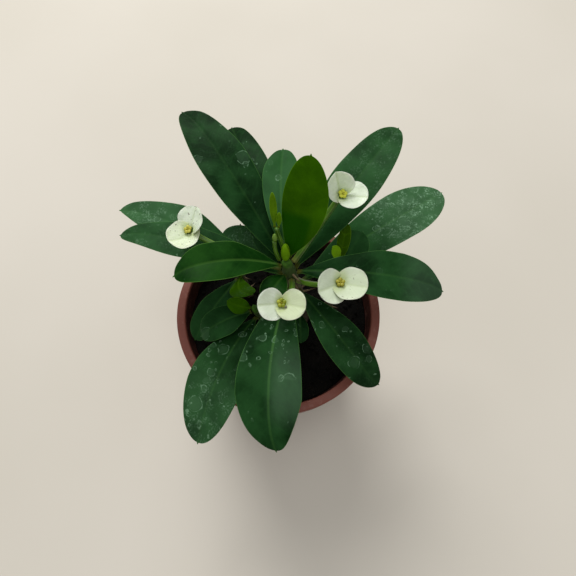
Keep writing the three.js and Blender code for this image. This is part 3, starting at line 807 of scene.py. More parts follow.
def leaf_material(name, *colors):
    """A kind of leaf. Its colours: deep and fresh green, midrib and margin, underside, and the painted shade
    on the foot.
    """
    deep, fresh, rib, under, shade = (paint(*color) for color in colors)
    material, tree, shader = new_material(name, IOR=1.2, Specular_IOR_Level=0.1)
    chart = mark(tree, "chart", "Vector")
    along, spots, lime = (mark(tree, label) for label in ("along", "spots", "lime"))
    tones = use_group(tree, cloudy, {"Place": chart, "Scale": 0.07, "Speckle": 0.35})
    vein = use_group(tree, veins, {"Chart": chart, "Spacing": 5.0, "Lean": 0.9})
    big, small, specks = (
        use_group(tree, water_marks, {"Chart": chart, "Amount": times(tree, spots, share), "Drop Size": size})
        for share, size in ((1.0, 10.0), (0.6, 4.6), (0.15, 1.8))
    )
    film = times(tree, strongest(tree, big["Film"], small["Film"]), 0.07)
    rings = times(tree, strongest(tree, big["Ring"], small["Ring"], specks["Ring"]), 0.5)
    powdered = times(tree, use_group(tree, powder, {"Chart": chart, "Amount": lime})["Powder"], 0.6)
    # a faint lime film plus a painted sheen band that stands in for a glossy reflection
    lime_and_sheen = sums(tree, "ADD", times(tree, lime, 0.09), mark(tree, "bloom"))
    dried = sums(tree, "ADD", strongest(tree, film, rings, powdered), lime_and_sheen)
    share = sums(tree, "ADD", times(tree, tones["Tone"], 0.6), mark(tree, "tone"))
    # darker green towards the foot: partly the leaf's own older colour, partly painted shade near the stem
    share = times(tree, share, fade(tree, along, 0.05, 0.5, 0.25, 1.0))
    color = coats(
        tree,
        blend(tree, share, deep, fresh),
        (times(tree, vein["Veins"], 0.1), fresh),
        (times(tree, vein["Midrib"], mark(tree, "rib")), rib),
        # painted shade: the shaded foot of a young leaf and the seams of the growing tip
        (mark(tree, "shade"), shade),
        # pale colour of the dried deposits, which also lays on the painted sheen
        (dried, paint(120, 156, 126)),
        (fade(tree, mark(tree, "edge"), 0.05, 0.35, 0.5, 0.0), rib),
        (fade(tree, mark(tree, "above"), -0.12, 0.02, 1.0, 0.0), under),
        (fade(tree, along, 0.01, 0.05, 0.5, 0.0), paint(92, 84, 30)),
    )
    shine = sums(tree, "ADD", uneven(tree, tones, 0.36, 0.46, 0.3, 0.7), times(tree, dried, 0.6))
    furrows = times(tree, vein["Veins"], 0.12)
    height = sums(tree, "SUBTRACT", times(tree, tones["Fine"], 0.2), furrows)
    finish_material(tree, shader, color, shine, height, 0.3, 0.0003)
    return material


# The fifth colour of each kind is the colour of its painted shade.
LEAF_KINDS = {
    "dark_leaf": ("leaf_dark", (11, 38, 13), (41, 83, 42), (80, 128, 60), (60, 104, 46), (6, 26, 10)),
    "mid_leaf": ("leaf_mid", (8, 41, 6), (36, 80, 24), (104, 150, 66), (76, 120, 46), (8, 40, 6)),
    "young_leaf": ("leaf_young", (34, 72, 0), (62, 108, 0), (96, 140, 20), (84, 130, 24), (25, 74, 0)),
    "bud_leaf": ("leaf_bud", (48, 82, 4), (112, 158, 18), (112, 152, 30), (84, 130, 24), (36, 66, 0)),
}
LEAF_FINISH = {kind: leaf_material(*row) for kind, row in LEAF_KINDS.items()}

# %% [markdown]
# ### The leaves
# Every row below is one leaf: its stem, the height of its node, its tip, width, arch, sway, roll and fold,
# where it is widest, how blunt it ends, how far its tip is hooked sideways, and its kind. Two more tables
# follow. One makes a half of four leaves slimmer than in their solids. The other says what the surfaces are
# like: how strongly the midrib shows, how many water marks there are, how much lime lies on the leaf, how
# much painted sheen it gets, and how far painted shade darkens the foot of a young leaf. A leaf without a
# row there is plain.

# %% Leaf rows
LEAVES = {
    "leaf_upper_left": ("main", 151, (-46.2, 84.4, 174), 24.6, 8, 0.2, 0, 5, 0.6, 1.9, -2.4, "dark_leaf"),
    "leaf_top_left": ("main", 145, (-25, 87, 158), 22, 12, -1.5, 0, 5, 0.6, 2, 0, "dark_leaf"),
    "leaf_top_middle": ("main", 157, (3.2, 60, 174), 18, 5, -2, 0, 8, 0.72, 2, 0, "dark_leaf"),
    "leaf_young_upright": ("main", 160, (15.2, 34.2, 203), 20.4, 3, 2.7, 0, 8, 0.64, 1.9, 0, "young_leaf"),
    "leaf_upper_right": ("main", 149, (61.8, 74.6, 172), 24.4, 8, 0.5, 0, 5, 0.6, 1.8, 0, "dark_leaf"),
    "leaf_right_back": ("main", 136, (95, 61.1, 133), 28.8, 2.4, -1.2, 0, 5, 0.69, 1.8, -0.6, "dark_leaf"),
    "leaf_right": ("main", 152, (80.8, -4.8, 152), 25, 9, 0.3, 0, 6, 0.7, 1.5, 1.4, "dark_leaf"),
    "leaf_left": ("main", 158, (-45.2, -5, 172), 19.5, 4, 2.6, 0, 8, 0.63, 2.2, -1.6, "mid_leaf"),
    "leaf_far_left_back": ("main", 143, (-84.1, 43.3, 146), 22, 10, 0.3, 0, 5, 0.62, 1.45, -1, "dark_leaf"),
    "leaf_far_left_front": ("main", 147, (-79.2, 26.2, 152), 18.6, 7, 0.9, 0, 5, 0.62, 1.5, -2, "dark_leaf"),
    "leaf_inner_left": ("main", 138, (-12, 37.5, 148), 16, 2, 0, 0, 5, 0.55, 2, 0, "dark_leaf"),
    "leaf_front": ("main", 144, (-1.8, -78.8, 138), 30.8, 10, 4.9, 0, 5, 0.7, 1.5, -1.9, "dark_leaf"),
    "leaf_front_right": ("main", 138, (50.9, -47.7, 122), 20.6, 9, 1, 0, 5, 0.6, 2, -1.8, "dark_leaf"),
    "leaf_small_front": ("main", 112, (13, -20.5, 106), 9.5, 2, 0, 0, 5, 0.6, 2, 0, "dark_leaf"),
    "leaf_inner_front": ("main", 153.5, (-5, -13.5, 156.5), 12.5, 3, 0, 0, 5, 0.6, 2, 0, "mid_leaf"),
    "leaf_low_left_inner": ("left", 119.5, (-42, -19.2, 116.4), 18, 7.4, -1.2, 6, 5, 0.54, 2, 0, "dark_leaf"),
    "leaf_low_left_young": ("left", 122.3, (-27, -3, 128), 9.5, 2.4, 0, -36, 8, 0.55, 1.6, 0, "young_leaf"),
    "leaf_front_left": ("left", 113, (-39.8, -74.8, 117.5), 28.8, 8, 3.6, 0, 5, 0.62, 1.65, 0, "dark_leaf"),
    "leaf_left_back": ("left_back", 122, (-20.6, 37.8, 138), 21, 3, 0, 0, 5, 0.62, 2.2, 0, "dark_leaf"),
    "leaf_low_left_outer": ("left_back", 118, (-47, -19, 108), 16.5, 5, 0, 0, 5, 0.6, 2, 0, "dark_leaf"),
    "leaf_low_left_curled": (
        "left_back", 122, (-14.6, 2.8, 122), 12, 1, 4.5, 0, 5, 0.62, 3.2, 0, "young_leaf",
    ),
    "leaf_low_right_outer": ("right", 141.2, (43.6, 25, 153.4), 16.4, 2, 0, 0, 5, 0.6, 2, 0, "dark_leaf"),
    "leaf_low_right_inner": ("right", 144, (35.2, 26, 160.4), 6.6, 1.5, -0.6, 0, 8, 0.6, 2, 0, "bud_leaf"),
    "leaf_low_right_young": ("right", 145, (28.2, 16.8, 154.4), 5.8, 1, 0, 0, 8, 0.66, 2, 0, "bud_leaf"),
}
# Powers (left, right) of the wedge at the foot, of the blunt end and of its point, where a half is slimmer.
SLIMMED = {
    "leaf_far_left_back": {"wedge": (1.0, 4.0), "point": (0.8, 0.5)},
    "leaf_front_right": {"point": (0.66, 0.5)},
    "leaf_front": {"blunt": (1.2, 1.5)},
    "leaf_right": {"blunt": (1.28, 1.5)},
}
# Surface of a leaf: midrib, water marks at foot and tip, tone, lime, the share of its length that lies in
# painted shade, and its painted sheen: strength, the shares of the length between which it lies, and 1 if
# only the left half has it.
PLAIN = {
    "rib": 0.25, "spots": (0.03, 0.08), "tone": 0.0, "lime": 0.0, "shade": 0.0, "bloom": (0.0, 0.4, 0.7, 0),
}
SURFACES = {
    "leaf_upper_left": {"rib": 0.08, "spots": (0.06, 0.1), "tone": -0.15, "lime": 0.08},
    "leaf_top_left": {"tone": -0.25},
    "leaf_top_middle": {"rib": 0.35, "tone": 0.6, "bloom": (0.05, 0.3, 0.8, 0)},
    "leaf_upper_right": {"rib": 0.15, "spots": (0.03, 0.15), "tone": 0.2, "lime": 0.35},
    "leaf_right_back": {"rib": 0.3, "spots": (0.15, 0.6), "tone": 0.5, "lime": 1.5},
    "leaf_right": {"rib": 0.15, "spots": (0.02, 0.06), "tone": -0.1, "bloom": (0.1, 0.72, 1.1, 0)},
    "leaf_left": {"rib": 0.22, "spots": (0.0, 0.0), "tone": -0.05},
    "leaf_far_left_back": {"rib": 0.15, "spots": (0.1, 0.3), "tone": 0.5, "lime": 0.9},
    "leaf_far_left_front": {"rib": 0.15, "spots": (0.1, 0.3), "tone": 0.2, "lime": 0.4},
    "leaf_front": {"rib": 0.5, "spots": (0.85, 0.0), "tone": -0.05, "bloom": (0.15, 0.42, 0.82, 1)},
    "leaf_front_left": {"rib": 0.2, "spots": (0.55, 0.75), "tone": 0.2, "lime": 0.5},
    "leaf_front_right": {"rib": 0.15, "spots": (0.5, 0.4), "tone": 0.0, "lime": 0.1},
    "leaf_left_back": {"rib": 0.3, "tone": 0.7, "lime": 0.9},
    "leaf_inner_left": {"tone": 0.6, "lime": 0.8},
    "leaf_low_left_inner": {"tone": 0.3},
    "leaf_low_left_outer": {"tone": 0.35},
    "leaf_low_right_outer": {"rib": 0.1, "spots": (0.0, 0.0), "tone": 0.4},
    "leaf_inner_front": {"rib": 0.1, "tone": -0.3},
    "leaf_young_upright": {"rib": 0.0, "spots": (0.0, 0.0), "tone": 0.15, "shade": 0.5},
    # leaf_low_left_curled has its tone raised as painted light, against the shade it lies in under leaf_left
    "leaf_low_left_curled": {"rib": 0.5, "spots": (0.0, 0.0), "tone": 1.0, "lime": 0.5},
    "leaf_low_left_young": {"rib": 0.2, "spots": (0.0, 0.0), "tone": 0.4},
    "leaf_low_right_inner": {"rib": 0.1, "spots": (0.0, 0.0), "tone": -0.5},
    "leaf_low_right_young": {"rib": 0.4, "spots": (0.0, 0.0), "tone": 0.8},
}
print("leaf rows:", len(LEAVES), "with a surface:", len(SURFACES), "slimmed:", len(SLIMMED))

# %% Grow the leaves
FOOT_GAP = 0.44  # a leaf's foot is this far off the bark
PETIOLE_RADIUS = 1.2
LEAF_THICKNESS = 0.9
LEAF_WEDGE = (1.0, 1.0)
MUCRO = 0.9  # length of the bristle at a large leaf's tip
NARROW = 15  # leaves of less width than this need fewer points round them
NARROW_SIDES = 48
WIDE_SIDES = 88
LEAF_ROWS = 50  # and one more for each millimetre of length


def leaf_relief(seed, ripple):
    """The uneven surface of a leaf: a sunken midrib, a keel under it, and waves towards the margin."""
    dice = np.random.default_rng(seed)
    phase, waves = dice.uniform(0, 6.3, 4), dice.uniform(1.6, 3.2, 2)

    def relief(t, across, half):
        off = np.abs(across) * half
        groove = -0.35 * np.exp(-((off / 1.1) ** 2)) * (1 - 0.6 * t)
        left, right = (np.sin(2 * np.pi * waves[i] * t + phase[i]) for i in (0, 1))
        sway = np.where(across > 0, right, left) * np.abs(across) ** 1.8
        cup = 0.5 * np.sin(2.2 * np.pi * t + phase[2]) * np.abs(across)
        return groove + ripple * (sway + cup) * smooth(t, 0.1, 0.4) * (1 - smooth(t, 0.93, 1))

    return relief


def surface_marks(marks, surface):
    """Adds a leaf's surface to the marks of its blade."""
    surface = {**PLAIN, **surface}
    along, painted_shade_share, off_midrib = marks["along"], surface["shade"], marks["chart"][:, 1]
    towards_tip = smooth(along, 0.4, 0.7)
    marks["spots"] = lerp(*surface["spots"], towards_tip)
    marks["lime"] = surface["lime"] * towards_tip
    marks["rib"] = surface["rib"] * (1 - 0.8 * np.minimum(along, 1))
    marks["tone"] = np.full(len(along), surface["tone"])
    # painted sheen: a pale band along part of the leaf, standing in for a glossy reflection
    strength, start, end, one_side = surface["bloom"]
    band = smooth(along, start - 0.1, start + 0.1) * (1 - smooth(along, end - 0.1, end + 0.1))
    marks["bloom"] = strength * band * (smooth(-off_midrib, -3.0, 5.0) if one_side else 1.0)
    marks["shade"] = 0 * along
    # painted shade over the foot of a young leaf, with a lit strip left along one side
    if painted_shade_share:
        stripe = 0.8 * smooth(off_midrib, 3.0, 6.0)
        marks["shade"] = (1 - smooth(along, painted_shade_share - 0.05, painted_shade_share + 0.05)) * (1 - stripe)
    return marks


def grow_leaf(name, seed):
    """A leaf from its row; returns how far its box and its solid's box differ."""
    stem, node_height, tip, width, arch, sway, roll, fold, widest, blunt, hook, kind = LEAVES[name]
    centre, radius = stem_at(STEMS[stem], node_height)
    outwards = unit((np.array(tip) - centre) * [1, 1, 0])
    length = np.linalg.norm(np.array(tip) - centre)
    outline = {"wedge": LEAF_WEDGE, "blunt": (blunt, blunt), **SLIMMED.get(name, {})}
    shape = {
        "base": centre + outwards * (radius + FOOT_GAP), "tip": tip, "upwards": UP, "arch": arch,
        "sway": sway, "roll": roll, "fold": fold, "hook": hook, "mucro": min(MUCRO, 0.04 * width),
        "foot_side": np.cross(outwards, UP), "foot_up": UP,
        "foot_size": min(PETIOLE_RADIUS, 0.35 + 0.06 * width),
        "outline": blade_outline(width, widest, **outline),
        "thickness": LEAF_THICKNESS, "relief": leaf_relief(seed, 0.022 * width), "seed": 37.0 * seed,
    }
    sides = NARROW_SIDES if width < NARROW else WIDE_SIDES
    rings, marks = blade_rings(shape, int(LEAF_ROWS + length), sides)
    marks = surface_marks(marks, SURFACES.get(name, {}))
    add_piece(name + "_blade", *skin(rings), LEAF_FINISH[kind], name, marks)
    return fit_report(name + "_blade", name)


worst_fit = max(grow_leaf(name, seed) for seed, name in enumerate(LEAVES))
print(f"leaves: {len(LEAVES)}, furthest from their solids {worst_fit:.2f} mm")

# %% [markdown]
# ## The flowers
# What looks like a pair of petals is a pair of bracts: round leaves coloured to draw insects. They stand on
# a stalk with a little cup between them, and the cup carries five yellow glands round a tuft of stamens.
# The bracts are blades again, broad and short, with two lobes that reach back past their foot and a crease
# down the middle.

# %% Flower rows
# A bract is (tip, width, left lobe, right lobe, roll, fold, sway).
# pale lightens or darkens each flower's cup: painted light and painted shade.
FLOWERS = {
    "flower_upper_right": {
        "centre": (30.4, 31.3, 178), "facing": (0.2, -0.25, 0.95), "stem_height": 156,
        "via": (16, 15.5, 163), "ripe": 0.0, "pale": 0.85,
        "bracts": [
            ((26.8, 36.2, 189), 14.8, 5, 2.5, -12, 20, 0),
            ((42, 28.1, 181), 15, 2.5, 3.6, -12, 10, 0),
        ],
    },
    "flower_right": {
        "centre": (29, -8.9, 169), "facing": (0, -0.2, 0.97), "stem_height": 147,
        "via": (17, -3, 150), "ripe": 0.85, "pale": 0.1, "flecks": (0.0, 0.6), "dull": (0.35, 0.6),
        "bracts": [
            ((19, -14.2, 172), 16.4, 4.5, 4, -12, 13, 0),
            ((40.8, -12.3, 172), 16.4, 4.5, 5, -12, 12, 0),
        ],
    },
    "flower_front": {
        "centre": (2.9, -19.1, 171), "facing": (0, -0.25, 0.95), "stem_height": 150,
        "via": (9, -9, 153), "ripe": 0.3, "pale": -0.05, "cream": (0.0, 0.6), "dull": (0.0, 0.55),
        "wilted": True,
        "bracts": [
            ((-7.6, -20.7, 173), 14.6, 4, 3, -10, 12, 0),
            ((13.3, -22.1, 173), 14.6, 3, 4.2, -10, 12, 0),
        ],
    },
    "flower_left": {
        "centre": (-41.3, 19.7, 165), "facing": (-0.35, -0.1, 0.93), "stem_height": 155,
        "via": (-18, 7.5, 157.5), "ripe": 1.0, "pale": 0.45, "flecks": (1.0, 1.0), "cream": (0.3, 0.0),
        "bracts": [
            ((-50.6, 12.9, 168), 16.2, 7, 4, -9, 12, -1.5),
            ((-37.6, 29.4, 171), 19.2, 3.4, 3, -13, 12, -0.2),
        ],
    },
}
STALK_RADIUS = 1.5
STALK_HEAD = 7  # the third point of a stalk's curve is this far below its end
GAP = 0.3  # between the pieces of a flower
print("flower rows:", ", ".join(FLOWERS))

# %% [markdown]
# ### What a flower is coloured with
# Bracts are thin and let light through, so their white has some subsurface light in it. Cups and stalks are
# denser and need none. The parts of a cup could each have a material, but they are one mesh, so marks on
# its points say what is gland, stamen or wilted, and one material paints each in its own colour.

# %% Bract, cup and stalk materials
bract_white, tree, shader = new_material(
    "bract_white", Specular_IOR_Level=0.2, Subsurface_Weight=0.6, Subsurface_Scale=0.0015,
    Subsurface_Radius=(1.0, 1.0, 0.9),
)
chart = mark(tree, "chart", "Vector")
tones = use_group(tree, cloudy, {"Place": chart, "Scale": 0.22, "Speckle": 0.2})
vein = use_group(tree, veins, {"Chart": chart, "Spacing": 2.2, "Lean": 1.3})
flecks = fade(tree, grain(tree, chart, 0.8, 1.0), 0.71, 0.73, 0.0, 0.85)
cream = coats(
    tree,
    blend(tree, tones["Tone"], paint(208, 222, 198), paint(220, 233, 211)),
    (mark(tree, "cream"), paint(208, 220, 168)),
    # painted shade that dims some bracts
    (mark(tree, "dull"), paint(178, 190, 160)),
    (fade(tree, mark(tree, "along"), 0.0, 0.24, 0.55, 0.0), paint(150, 168, 78)),
    (times(tree, vein["Veins"], 0.12), paint(176, 188, 150)),
    (times(tree, vein["Midrib"], 0.35), paint(168, 182, 136)),
    (fade(tree, mark(tree, "edge"), 0.0, 0.3, 0.25, 0.0), paint(196, 190, 156)),
    (times(tree, flecks, mark(tree, "flecks")), paint(86, 78, 62)),
    (fade(tree, mark(tree, "above"), -0.1, 0.05, 0.5, 0.0), paint(178, 192, 152)),
)
finish_material(tree, shader, cream, uneven(tree, tones, 0.5, 0.65), vein["Veins"], 0.25, 0.0002)

cup_yellow, tree, shader = new_material("cup_yellow", Specular_IOR_Level=0.3)
tones = use_group(tree, cloudy, {"Place": place_on_object(tree), "Scale": 500.0, "Speckle": 0.4})
ripe = mark(tree, "ripe")
# pale is painted light and shade: it makes one cup lighter and another darker than its own colour
light = sums(tree, "ADD", times(tree, tones["Tone"], 0.4), mark(tree, "pale"))
fresh_gland = blend(tree, light, paint(118, 136, 22), paint(214, 216, 74))
ripe_gland = blend(tree, light, paint(112, 106, 16), paint(200, 194, 84))
yellow = coats(
    tree,
    blend(tree, ripe, paint(132, 156, 28), paint(128, 120, 20)),
    (mark(tree, "gland"), blend(tree, ripe, fresh_gland, ripe_gland)),
    (mark(tree, "pollen"), blend(tree, light, paint(128, 128, 30), paint(214, 206, 74))),
    (mark(tree, "wilted"), blend(tree, tones["Tone"], paint(96, 96, 84), paint(140, 138, 122))),
)
finish_material(tree, shader, yellow, uneven(tree, tones, 0.3, 0.5), tones["Fine"], 0.3, 0.0002)

stalk_green, tree, shader = new_material("stalk_green", Specular_IOR_Level=0.45)
tones = use_group(tree, cloudy, {"Place": place_on_object(tree), "Scale": 130.0, "Speckle": 0.35})
green = coats(
    tree,
    blend(tree, tones["Tone"], paint(52, 90, 8), paint(80, 122, 20)),
    (fade(tree, mark(tree, "ridge"), 0.4, 1.0, 0.0, 0.4), paint(124, 158, 56)),
    (fade(tree, mark(tree, "along"), 0.0, 0.12, 0.5, 0.0), paint(110, 84, 50)),
)
finish_material(tree, shader, green, uneven(tree, tones, 0.35, 0.5), tones["Fine"], 0.25, 0.0003)

# %% [markdown]
# ### Stalks
# A stalk leaves the bark between the leaves and bends up to its flower. It is nearly round, with five low
# ridges. A bevelled curve would give a round tube, but rings on a four point curve can have the ridges and
# a slightly thicker foot and head as well.

# %% Stalks
STALK_SIDES = 24
STALK_RIDGES = 5


def grow_stalk(name, node, controls, radius, steps=60):
    """A ridged stalk along a four point curve, a little thicker at its foot and under its head."""
    a, b, c, d = (np.array(point, dtype=float) for point in controls)
    share = np.linspace(0, 1, steps)[:, None]
    rest = 1 - share
    path = rest ** 3 * a + 3 * rest ** 2 * share * b + 3 * rest * share ** 2 * c + share ** 3 * d
    circle, turn = circles_along(path, [0.3, 0.1, 1.0], STALK_SIDES)
    ridge = (0.5 + 0.5 * np.cos(STALK_RIDGES * turn)) ** 2
    swell = 1 + 0.1 * np.exp(-share / 0.05) + 0.1 * np.exp(-(1 - share) / 0.04)
    width = radius * (0.9 + 0.1 * ridge) * swell
    marks = {"ridge": np.tile(ridge, steps), "along": np.repeat(share[:, 0], STALK_SIDES)}
    add_piece(name, *skin(path[:, None] + circle * width[..., None]), stalk_green, node, marks)


def leaving_point(stem, height, via, radius):
    """Where a stalk that heads for via leaves the bark."""
    centre, stem_width = stem_at(stem, height)
    heading = unit(np.array(via) - centre)
    outwards = unit(heading * [1, 1, 0])
    return centre + outwards * (stem_width + GAP + heading[2] * radius)


# %% [markdown]
# ### Cups
# The true flowers are tiny and sit in the cup. At this size they read as a bowl, five fat glands on its lip
# and a few grains in the middle, so squashed balls round a small spun bowl are enough.

# %% Cups with their glands
CUP_SECTION = [[0, 0], [0.9, 0], [1.2, 1.1], [1.75, 2.0], [1.3, 2.2], [0.7, 1.6], [0, 1.5]]
CUP_CORNER = 0.3
CUP_SIDES = 30
GLANDS = 5
GLAND_RADII = [0.88, 1.0, 0.5]
GLAND_PLACE = [1.34, 0, 2.25]
STAMENS = [(0, 0, 2.5), (0.42, 0.2, 2.3), (-0.3, 0.4, 2.35), (0.05, -0.45, 2.2)]
STAMEN_RADII = [0.24, 0.24, 0.2]
WILTED_LUMPS = [(1.5, -1.5, 2.1), (1.9, -1.9, 1.7)]
LUMP_RADII = [0.55, 0.45, 0.4]


def ball(middle, radii, lines=10):
    """A ball squashed to three radii."""
    angle = np.linspace(0, np.pi, lines)
    points, faces = spun(np.stack([np.sin(angle), -np.cos(angle)], axis=-1), 2 * lines)
    return points * radii + middle, faces


def facing_of(flower):
    """The direction that a flower looks in."""
    return unit(np.array(flower["facing"], float))


def grow_cup(name, flower):
    """The cup between the bracts: a small bowl, glands on its lip and a tuft of stamens."""
    parts = [(*spun(rounded(CUP_SECTION, CUP_CORNER), CUP_SIDES), 0, 0, 0)]
    for number in range(GLANDS):
        points, faces = ball([0, 0, 0], GLAND_RADII)
        points[:, 2] -= 0.12 * points[:, 1] ** 2
        points = turned(points + GLAND_PLACE, 2 * np.pi * number / GLANDS + 0.3, 0, 1)
        parts.append((points, faces, 1, 0, 0))
    for place in STAMENS:
        parts.append((*ball(place, STAMEN_RADII, 6), 0.4, 1, 0))
    if "wilted" in flower:
        for place in WILTED_LUMPS:
            parts.append((*ball(place, LUMP_RADII, 8), 0, 0, 1))
    points, faces = join([part[:2] for part in parts])
    facing = facing_of(flower)
    aside = unit(np.cross([0.0, 1.0, 0.0], facing))
    points = points @ np.stack([aside, np.cross(facing, aside), facing]) + flower["centre"]
    counts = [len(part[0]) for part in parts]
    marks = {
        label: np.repeat([float(part[column]) for part in parts], counts)
        for column, label in enumerate(("gland", "pollen", "wilted"), start=2)
    }
    for label in ("ripe", "pale"):
        marks[label] = np.full(len(points), flower[label])
    add_piece(name + "_cup_glands", points, faces, cup_yellow, name + "_cup", marks)


# %% [markdown]
# ### Bracts
# A bract is nearly round. It could be a flat disc, but real ones cup and crumple a little, so it is the
# blade of the leaves with a rounder outline. A low wedge power makes its foot blunt, and its two lobes are
# pulled back beside the foot.

# %% Bracts
BRACT_START = 1.9  # a bract's foot is this far from the middle of its flower
BRACT_WIDEST = 0.4
BRACT_WEDGE = (0.45, 0.45)
BRACT_BLUNT = (2, 2)
BRACT_ROWS = 72
BRACT_SIDES = 80


def bract_relief(seed):
    """The gently crumpled surface of a bract."""
    phase = np.random.default_rng(seed).uniform(0, 6.3, 3)

    def relief(t, across, half):
        wave = 0.25 * np.sin(3.5 * np.pi * t + phase[0] + np.sign(across)) * np.abs(across) ** 2
        return wave + 0.1 * np.sin(9 * across + phase[1] + 5 * t) * np.abs(across)

    return relief


def grow_bract(name, flower, number, seed):
    """One of a flower's two bracts."""
    tip, width, left_lobe, right_lobe, roll, fold, sway = flower["bracts"][number]
    facing = facing_of(flower)
    centre = np.array(flower["centre"], float)
    outwards = np.array(tip) - centre
    outwards = unit(outwards - facing * (outwards @ facing))
    shape = {
        "base": centre + outwards * BRACT_START + facing * GAP, "tip": tip, "upwards": facing,
        "sway": sway, "roll": roll, "fold": fold, "lobes": (left_lobe, right_lobe),
        "foot_side": np.cross(outwards, facing), "foot_up": facing, "foot_size": 0.5, "settle": 0.04,
        "outline": blade_outline(width, BRACT_WIDEST, BRACT_WEDGE, BRACT_BLUNT), "thickness": 0.55,
        "relief": bract_relief(seed), "seed": 11.0 * seed,
    }
    rings, marks = blade_rings(shape, BRACT_ROWS, BRACT_SIDES)
    for label in ("flecks", "cream", "dull"):
        marks[label] = np.full(len(marks["along"]), flower.get(label, (0.0, 0.0))[number])
    add_piece(name + "_petal", *skin(rings), bract_white, name, marks)


# %% Put the flowers together
for number, (name, flower) in enumerate(FLOWERS.items()):
    facing = facing_of(flower)
    end = np.array(flower["centre"]) - facing * GAP
    start = leaving_point(STEMS["main"], flower["stem_height"], flower["via"], STALK_RADIUS)
    controls = [start, flower["via"], end - facing * STALK_HEAD, end]
    grow_stalk(name + "_stalk_ridged", name + "_stalk", controls, STALK_RADIUS)
    grow_cup(name, flower)
    for bract, letter in enumerate("ab"):
        grow_bract(name + "_bract_" + letter, flower, bract, 2 * number + bract)
print("flowers:", len(FLOWERS), "bracts:", sum(len(flower["bracts"]) for flower in FLOWERS.values()))

# %% [markdown]
# ## The crown: sprig, bud and growing tip
# New growth stands in the middle of the crown: a thin green sprig with two small leaves, a closed bud on a
# stalk of its own, and the growing tip, where the next leaves are still wrapped round each other. Bud and
# tip could be modelled leaf by leaf, but only the seams between their leaves show, so each is one drop with
# a groove down its sides.

# %% Small leaves, sprig and bud
SMALL_LEAVES = {
    "sprig_leaf_tall": ((-0.3, 14.9, 177.5), (-1.1, 23.7, 192), 3.4),
    "sprig_leaf_short": ((1.5, 14.8, 177.5), (1.8, 18.3, 184.5), 2.6),
}
SMALL_ROWS = 36
SMALL_SIDES = 32
SPRIG = [(3.6, 8.8, 160), (3.8, 11.5, 167), (1.4, 13, 171), (0.6, 14.6, 176.6)]
BUD_STALK = [(1.5, 6.7, 160.8), (0.4, 6.8, 165), (-0.8, 8.4, 168.5), (-0.4, 10.4, 172)]

for seed, (name, (base, tip, width)) in enumerate(SMALL_LEAVES.items(), start=60):
    outwards = unit((np.array(tip) - base) * [1, 1, 0])
    shape = {
        "base": base, "tip": tip, "upwards": UP, "foot_side": np.cross(outwards, UP), "foot_up": UP,
        "foot_size": 0.7, "fold": 10, "outline": blade_outline(width, 0.55, LEAF_WEDGE, (2, 2)),
        "thickness": 0.7, "relief": leaf_relief(seed, 0.1), "seed": 37.0 * seed,
    }
    rings, marks = blade_rings(shape, SMALL_ROWS, SMALL_SIDES)
    marks = surface_marks(marks, {"spots": (0.0, 0.0), "tone": 0.3})
    add_piece(name + "_blade", *skin(rings), LEAF_FINISH["bud_leaf"], name, marks)

grow_stalk("sprig_stalk_ridged", "sprig_stalk", SPRIG, 1.0, 40)
grow_stalk("bud_stalk_ridged", "bud_stalk", BUD_STALK, 1.0, 30)
WRAPPED_ROWS = 30
WRAPPED_SIDES = 40
SEAM_TWIST = 0.9
SEAM_WIDTH = 0.14
SEAM_DEPTH = 0.08  # as a share of the radius


def wrapped(middle, radius, half_height, lean):
    """A leaning drop with a twisted seam down each side; also each point's nearness to a seam."""
    angle = np.linspace(0, np.pi, WRAPPED_ROWS)
    taper = lerp(1.08, 0.8, (1 - np.cos(angle)) / 2)
    section = np.stack([radius * taper * np.sin(angle) ** 0.9, -half_height * np.cos(angle)], axis=-1)
    points, faces = spun(section, WRAPPED_SIDES)
    turn = np.arctan2(points[:, 1], points[:, 0])
    seam = np.exp(-((np.sin(turn + SEAM_TWIST * points[:, 2] / half_height) / SEAM_WIDTH) ** 2))
    points[:, :2] *= (1 - SEAM_DEPTH * seam)[:, None]
    return turned(points, math.radians(-lean), 1, 2) + middle, faces, seam


points, faces, seam = wrapped((-0.3, 11.3, 174.3), 1.3, 2.1, 25)
# the seams get none of the paler ridge colour, so they are darker: painted shade in the seams
marks = {"ridge": 0.4 + 0.6 * (1 - seam), "along": np.full(len(points), 0.5)}
add_piece("bud_wrapped", points, faces, stalk_green, "bud", marks)

points, faces, seam = wrapped((4.5, 7.6, 166.6), 2.3, 4.6, 30)
ones = np.ones(len(points))
marks = {"chart": points, "edge": ones, "above": ones, "along": 0.75 * ones}
marks = surface_marks(marks, {"rib": 0.0, "spots": (0.0, 0.0), "tone": 0.45})
# painted shade in the seams between the wrapped leaves
marks["shade"] = 0.9 * seam
add_piece("growing_tip_wrapped", points, faces, LEAF_FINISH["bud_leaf"], "growing_tip", marks)
print("pieces so far:", len(pieces))

# %% [markdown]
# ## Floor, light and camera
# The plant stands on a plain pale floor. A broad lamp up at the back makes the soft shadow, a weaker one
# overhead puts the sheen on the leaves that lie flat, and an even pale sky fills the shadows in. The camera
# looks steeply down from the front.

# %% Floor
floor_paint, tree, shader = new_material("floor_paint", Roughness=0.75, Specular_IOR_Level=0.2)
tones = use_group(tree, cloudy, {"Place": place_on_object(tree), "Scale": 3.0, "Speckle": 0.1})
pale = blend(tree, tones["Tone"], paint(203, 198, 187), paint(209, 204, 194))
tree.links.new(pale, shader.inputs["Base Color"])
FLOOR_REACH = 3000.0
floor_corners = np.array([[-1, -1, 0], [1, -1, 0], [1, 1, 0], [-1, 1, 0]]) * FLOOR_REACH
add_piece("floor", floor_corners, [[0, 1, 2, 3]], floor_paint)
pieces.pop("floor")
print("floor:", 2 * FLOOR_REACH * MM, "m wide")


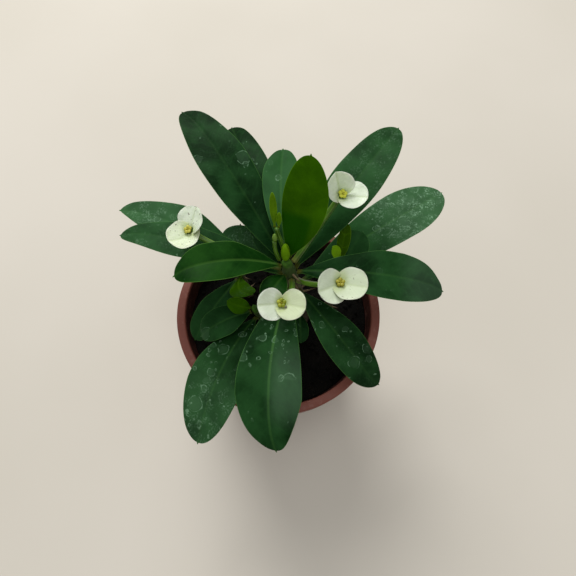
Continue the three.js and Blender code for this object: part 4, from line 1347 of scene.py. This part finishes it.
# %% Lamps and sky
LIGHT_COLOR = (1.0, 0.985, 0.96)
# Place, size and power of each lamp.
LAMPS = {"key_lamp": ((-0.36, 1.35, 1.5), 1.1, 32), "top_lamp": ((0.1, -0.15, 2.0), 0.9, 7)}
LAMP_TARGET = Vector((0, 0, 0.12))
SKY_STRENGTH = 0.42

for name, (place, size, power) in LAMPS.items():
    light = bpy.data.lights.new(name, "AREA")
    light.shape = "DISK"
    light.size = size
    light.energy = power
    light.color = LIGHT_COLOR
    lamp = bpy.data.objects.new(name, light)
    bpy.context.scene.collection.objects.link(lamp)
    lamp.location = place
    lamp.rotation_euler = (LAMP_TARGET - lamp.location).to_track_quat("-Z", "Y").to_euler()

sky = bpy.data.worlds.new("studio_sky")
sky.use_nodes = True
background = sky.node_tree.nodes["Background"].inputs
background["Color"].default_value = (*LIGHT_COLOR, 1.0)
background["Strength"].default_value = SKY_STRENGTH
bpy.context.scene.world = sky
bpy.context.scene.view_settings.view_transform = "Standard"
print("lamps:", ", ".join(LAMPS))

# %% Camera
CAMERA_PLACE = (0.0057, -0.083, 0.356)
CAMERA_TILT = 69.0  # degrees below the horizontal
CAMERA_LENS = 28
CAMERA_SENSOR = 36

camera_data = bpy.data.cameras.new("camera")
camera_data.lens = CAMERA_LENS
camera_data.sensor_width = CAMERA_SENSOR
camera_data.clip_start = 0.01
camera = bpy.data.objects.new("camera", camera_data)
bpy.context.scene.collection.objects.link(camera)
camera.location = CAMERA_PLACE
camera.rotation_euler = (math.radians(90 - CAMERA_TILT), 0, 0)
bpy.context.scene.camera = camera
print("camera:", CAMERA_LENS, "mm lens,", CAMERA_TILT, "degrees down")

# %% [markdown]
# ## Fix the pieces to the plant's body
# Every piece is fixed to the plant's one body.

# %% Ride, measure and finish
for piece in pieces.values():
    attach(piece, "root")
bpy.context.view_layer.update()
triangles = sum(len(piece.data.loops) - 2 * len(piece.data.polygons) for piece in pieces.values())
print("pieces:", len(pieces), "triangles:", triangles)
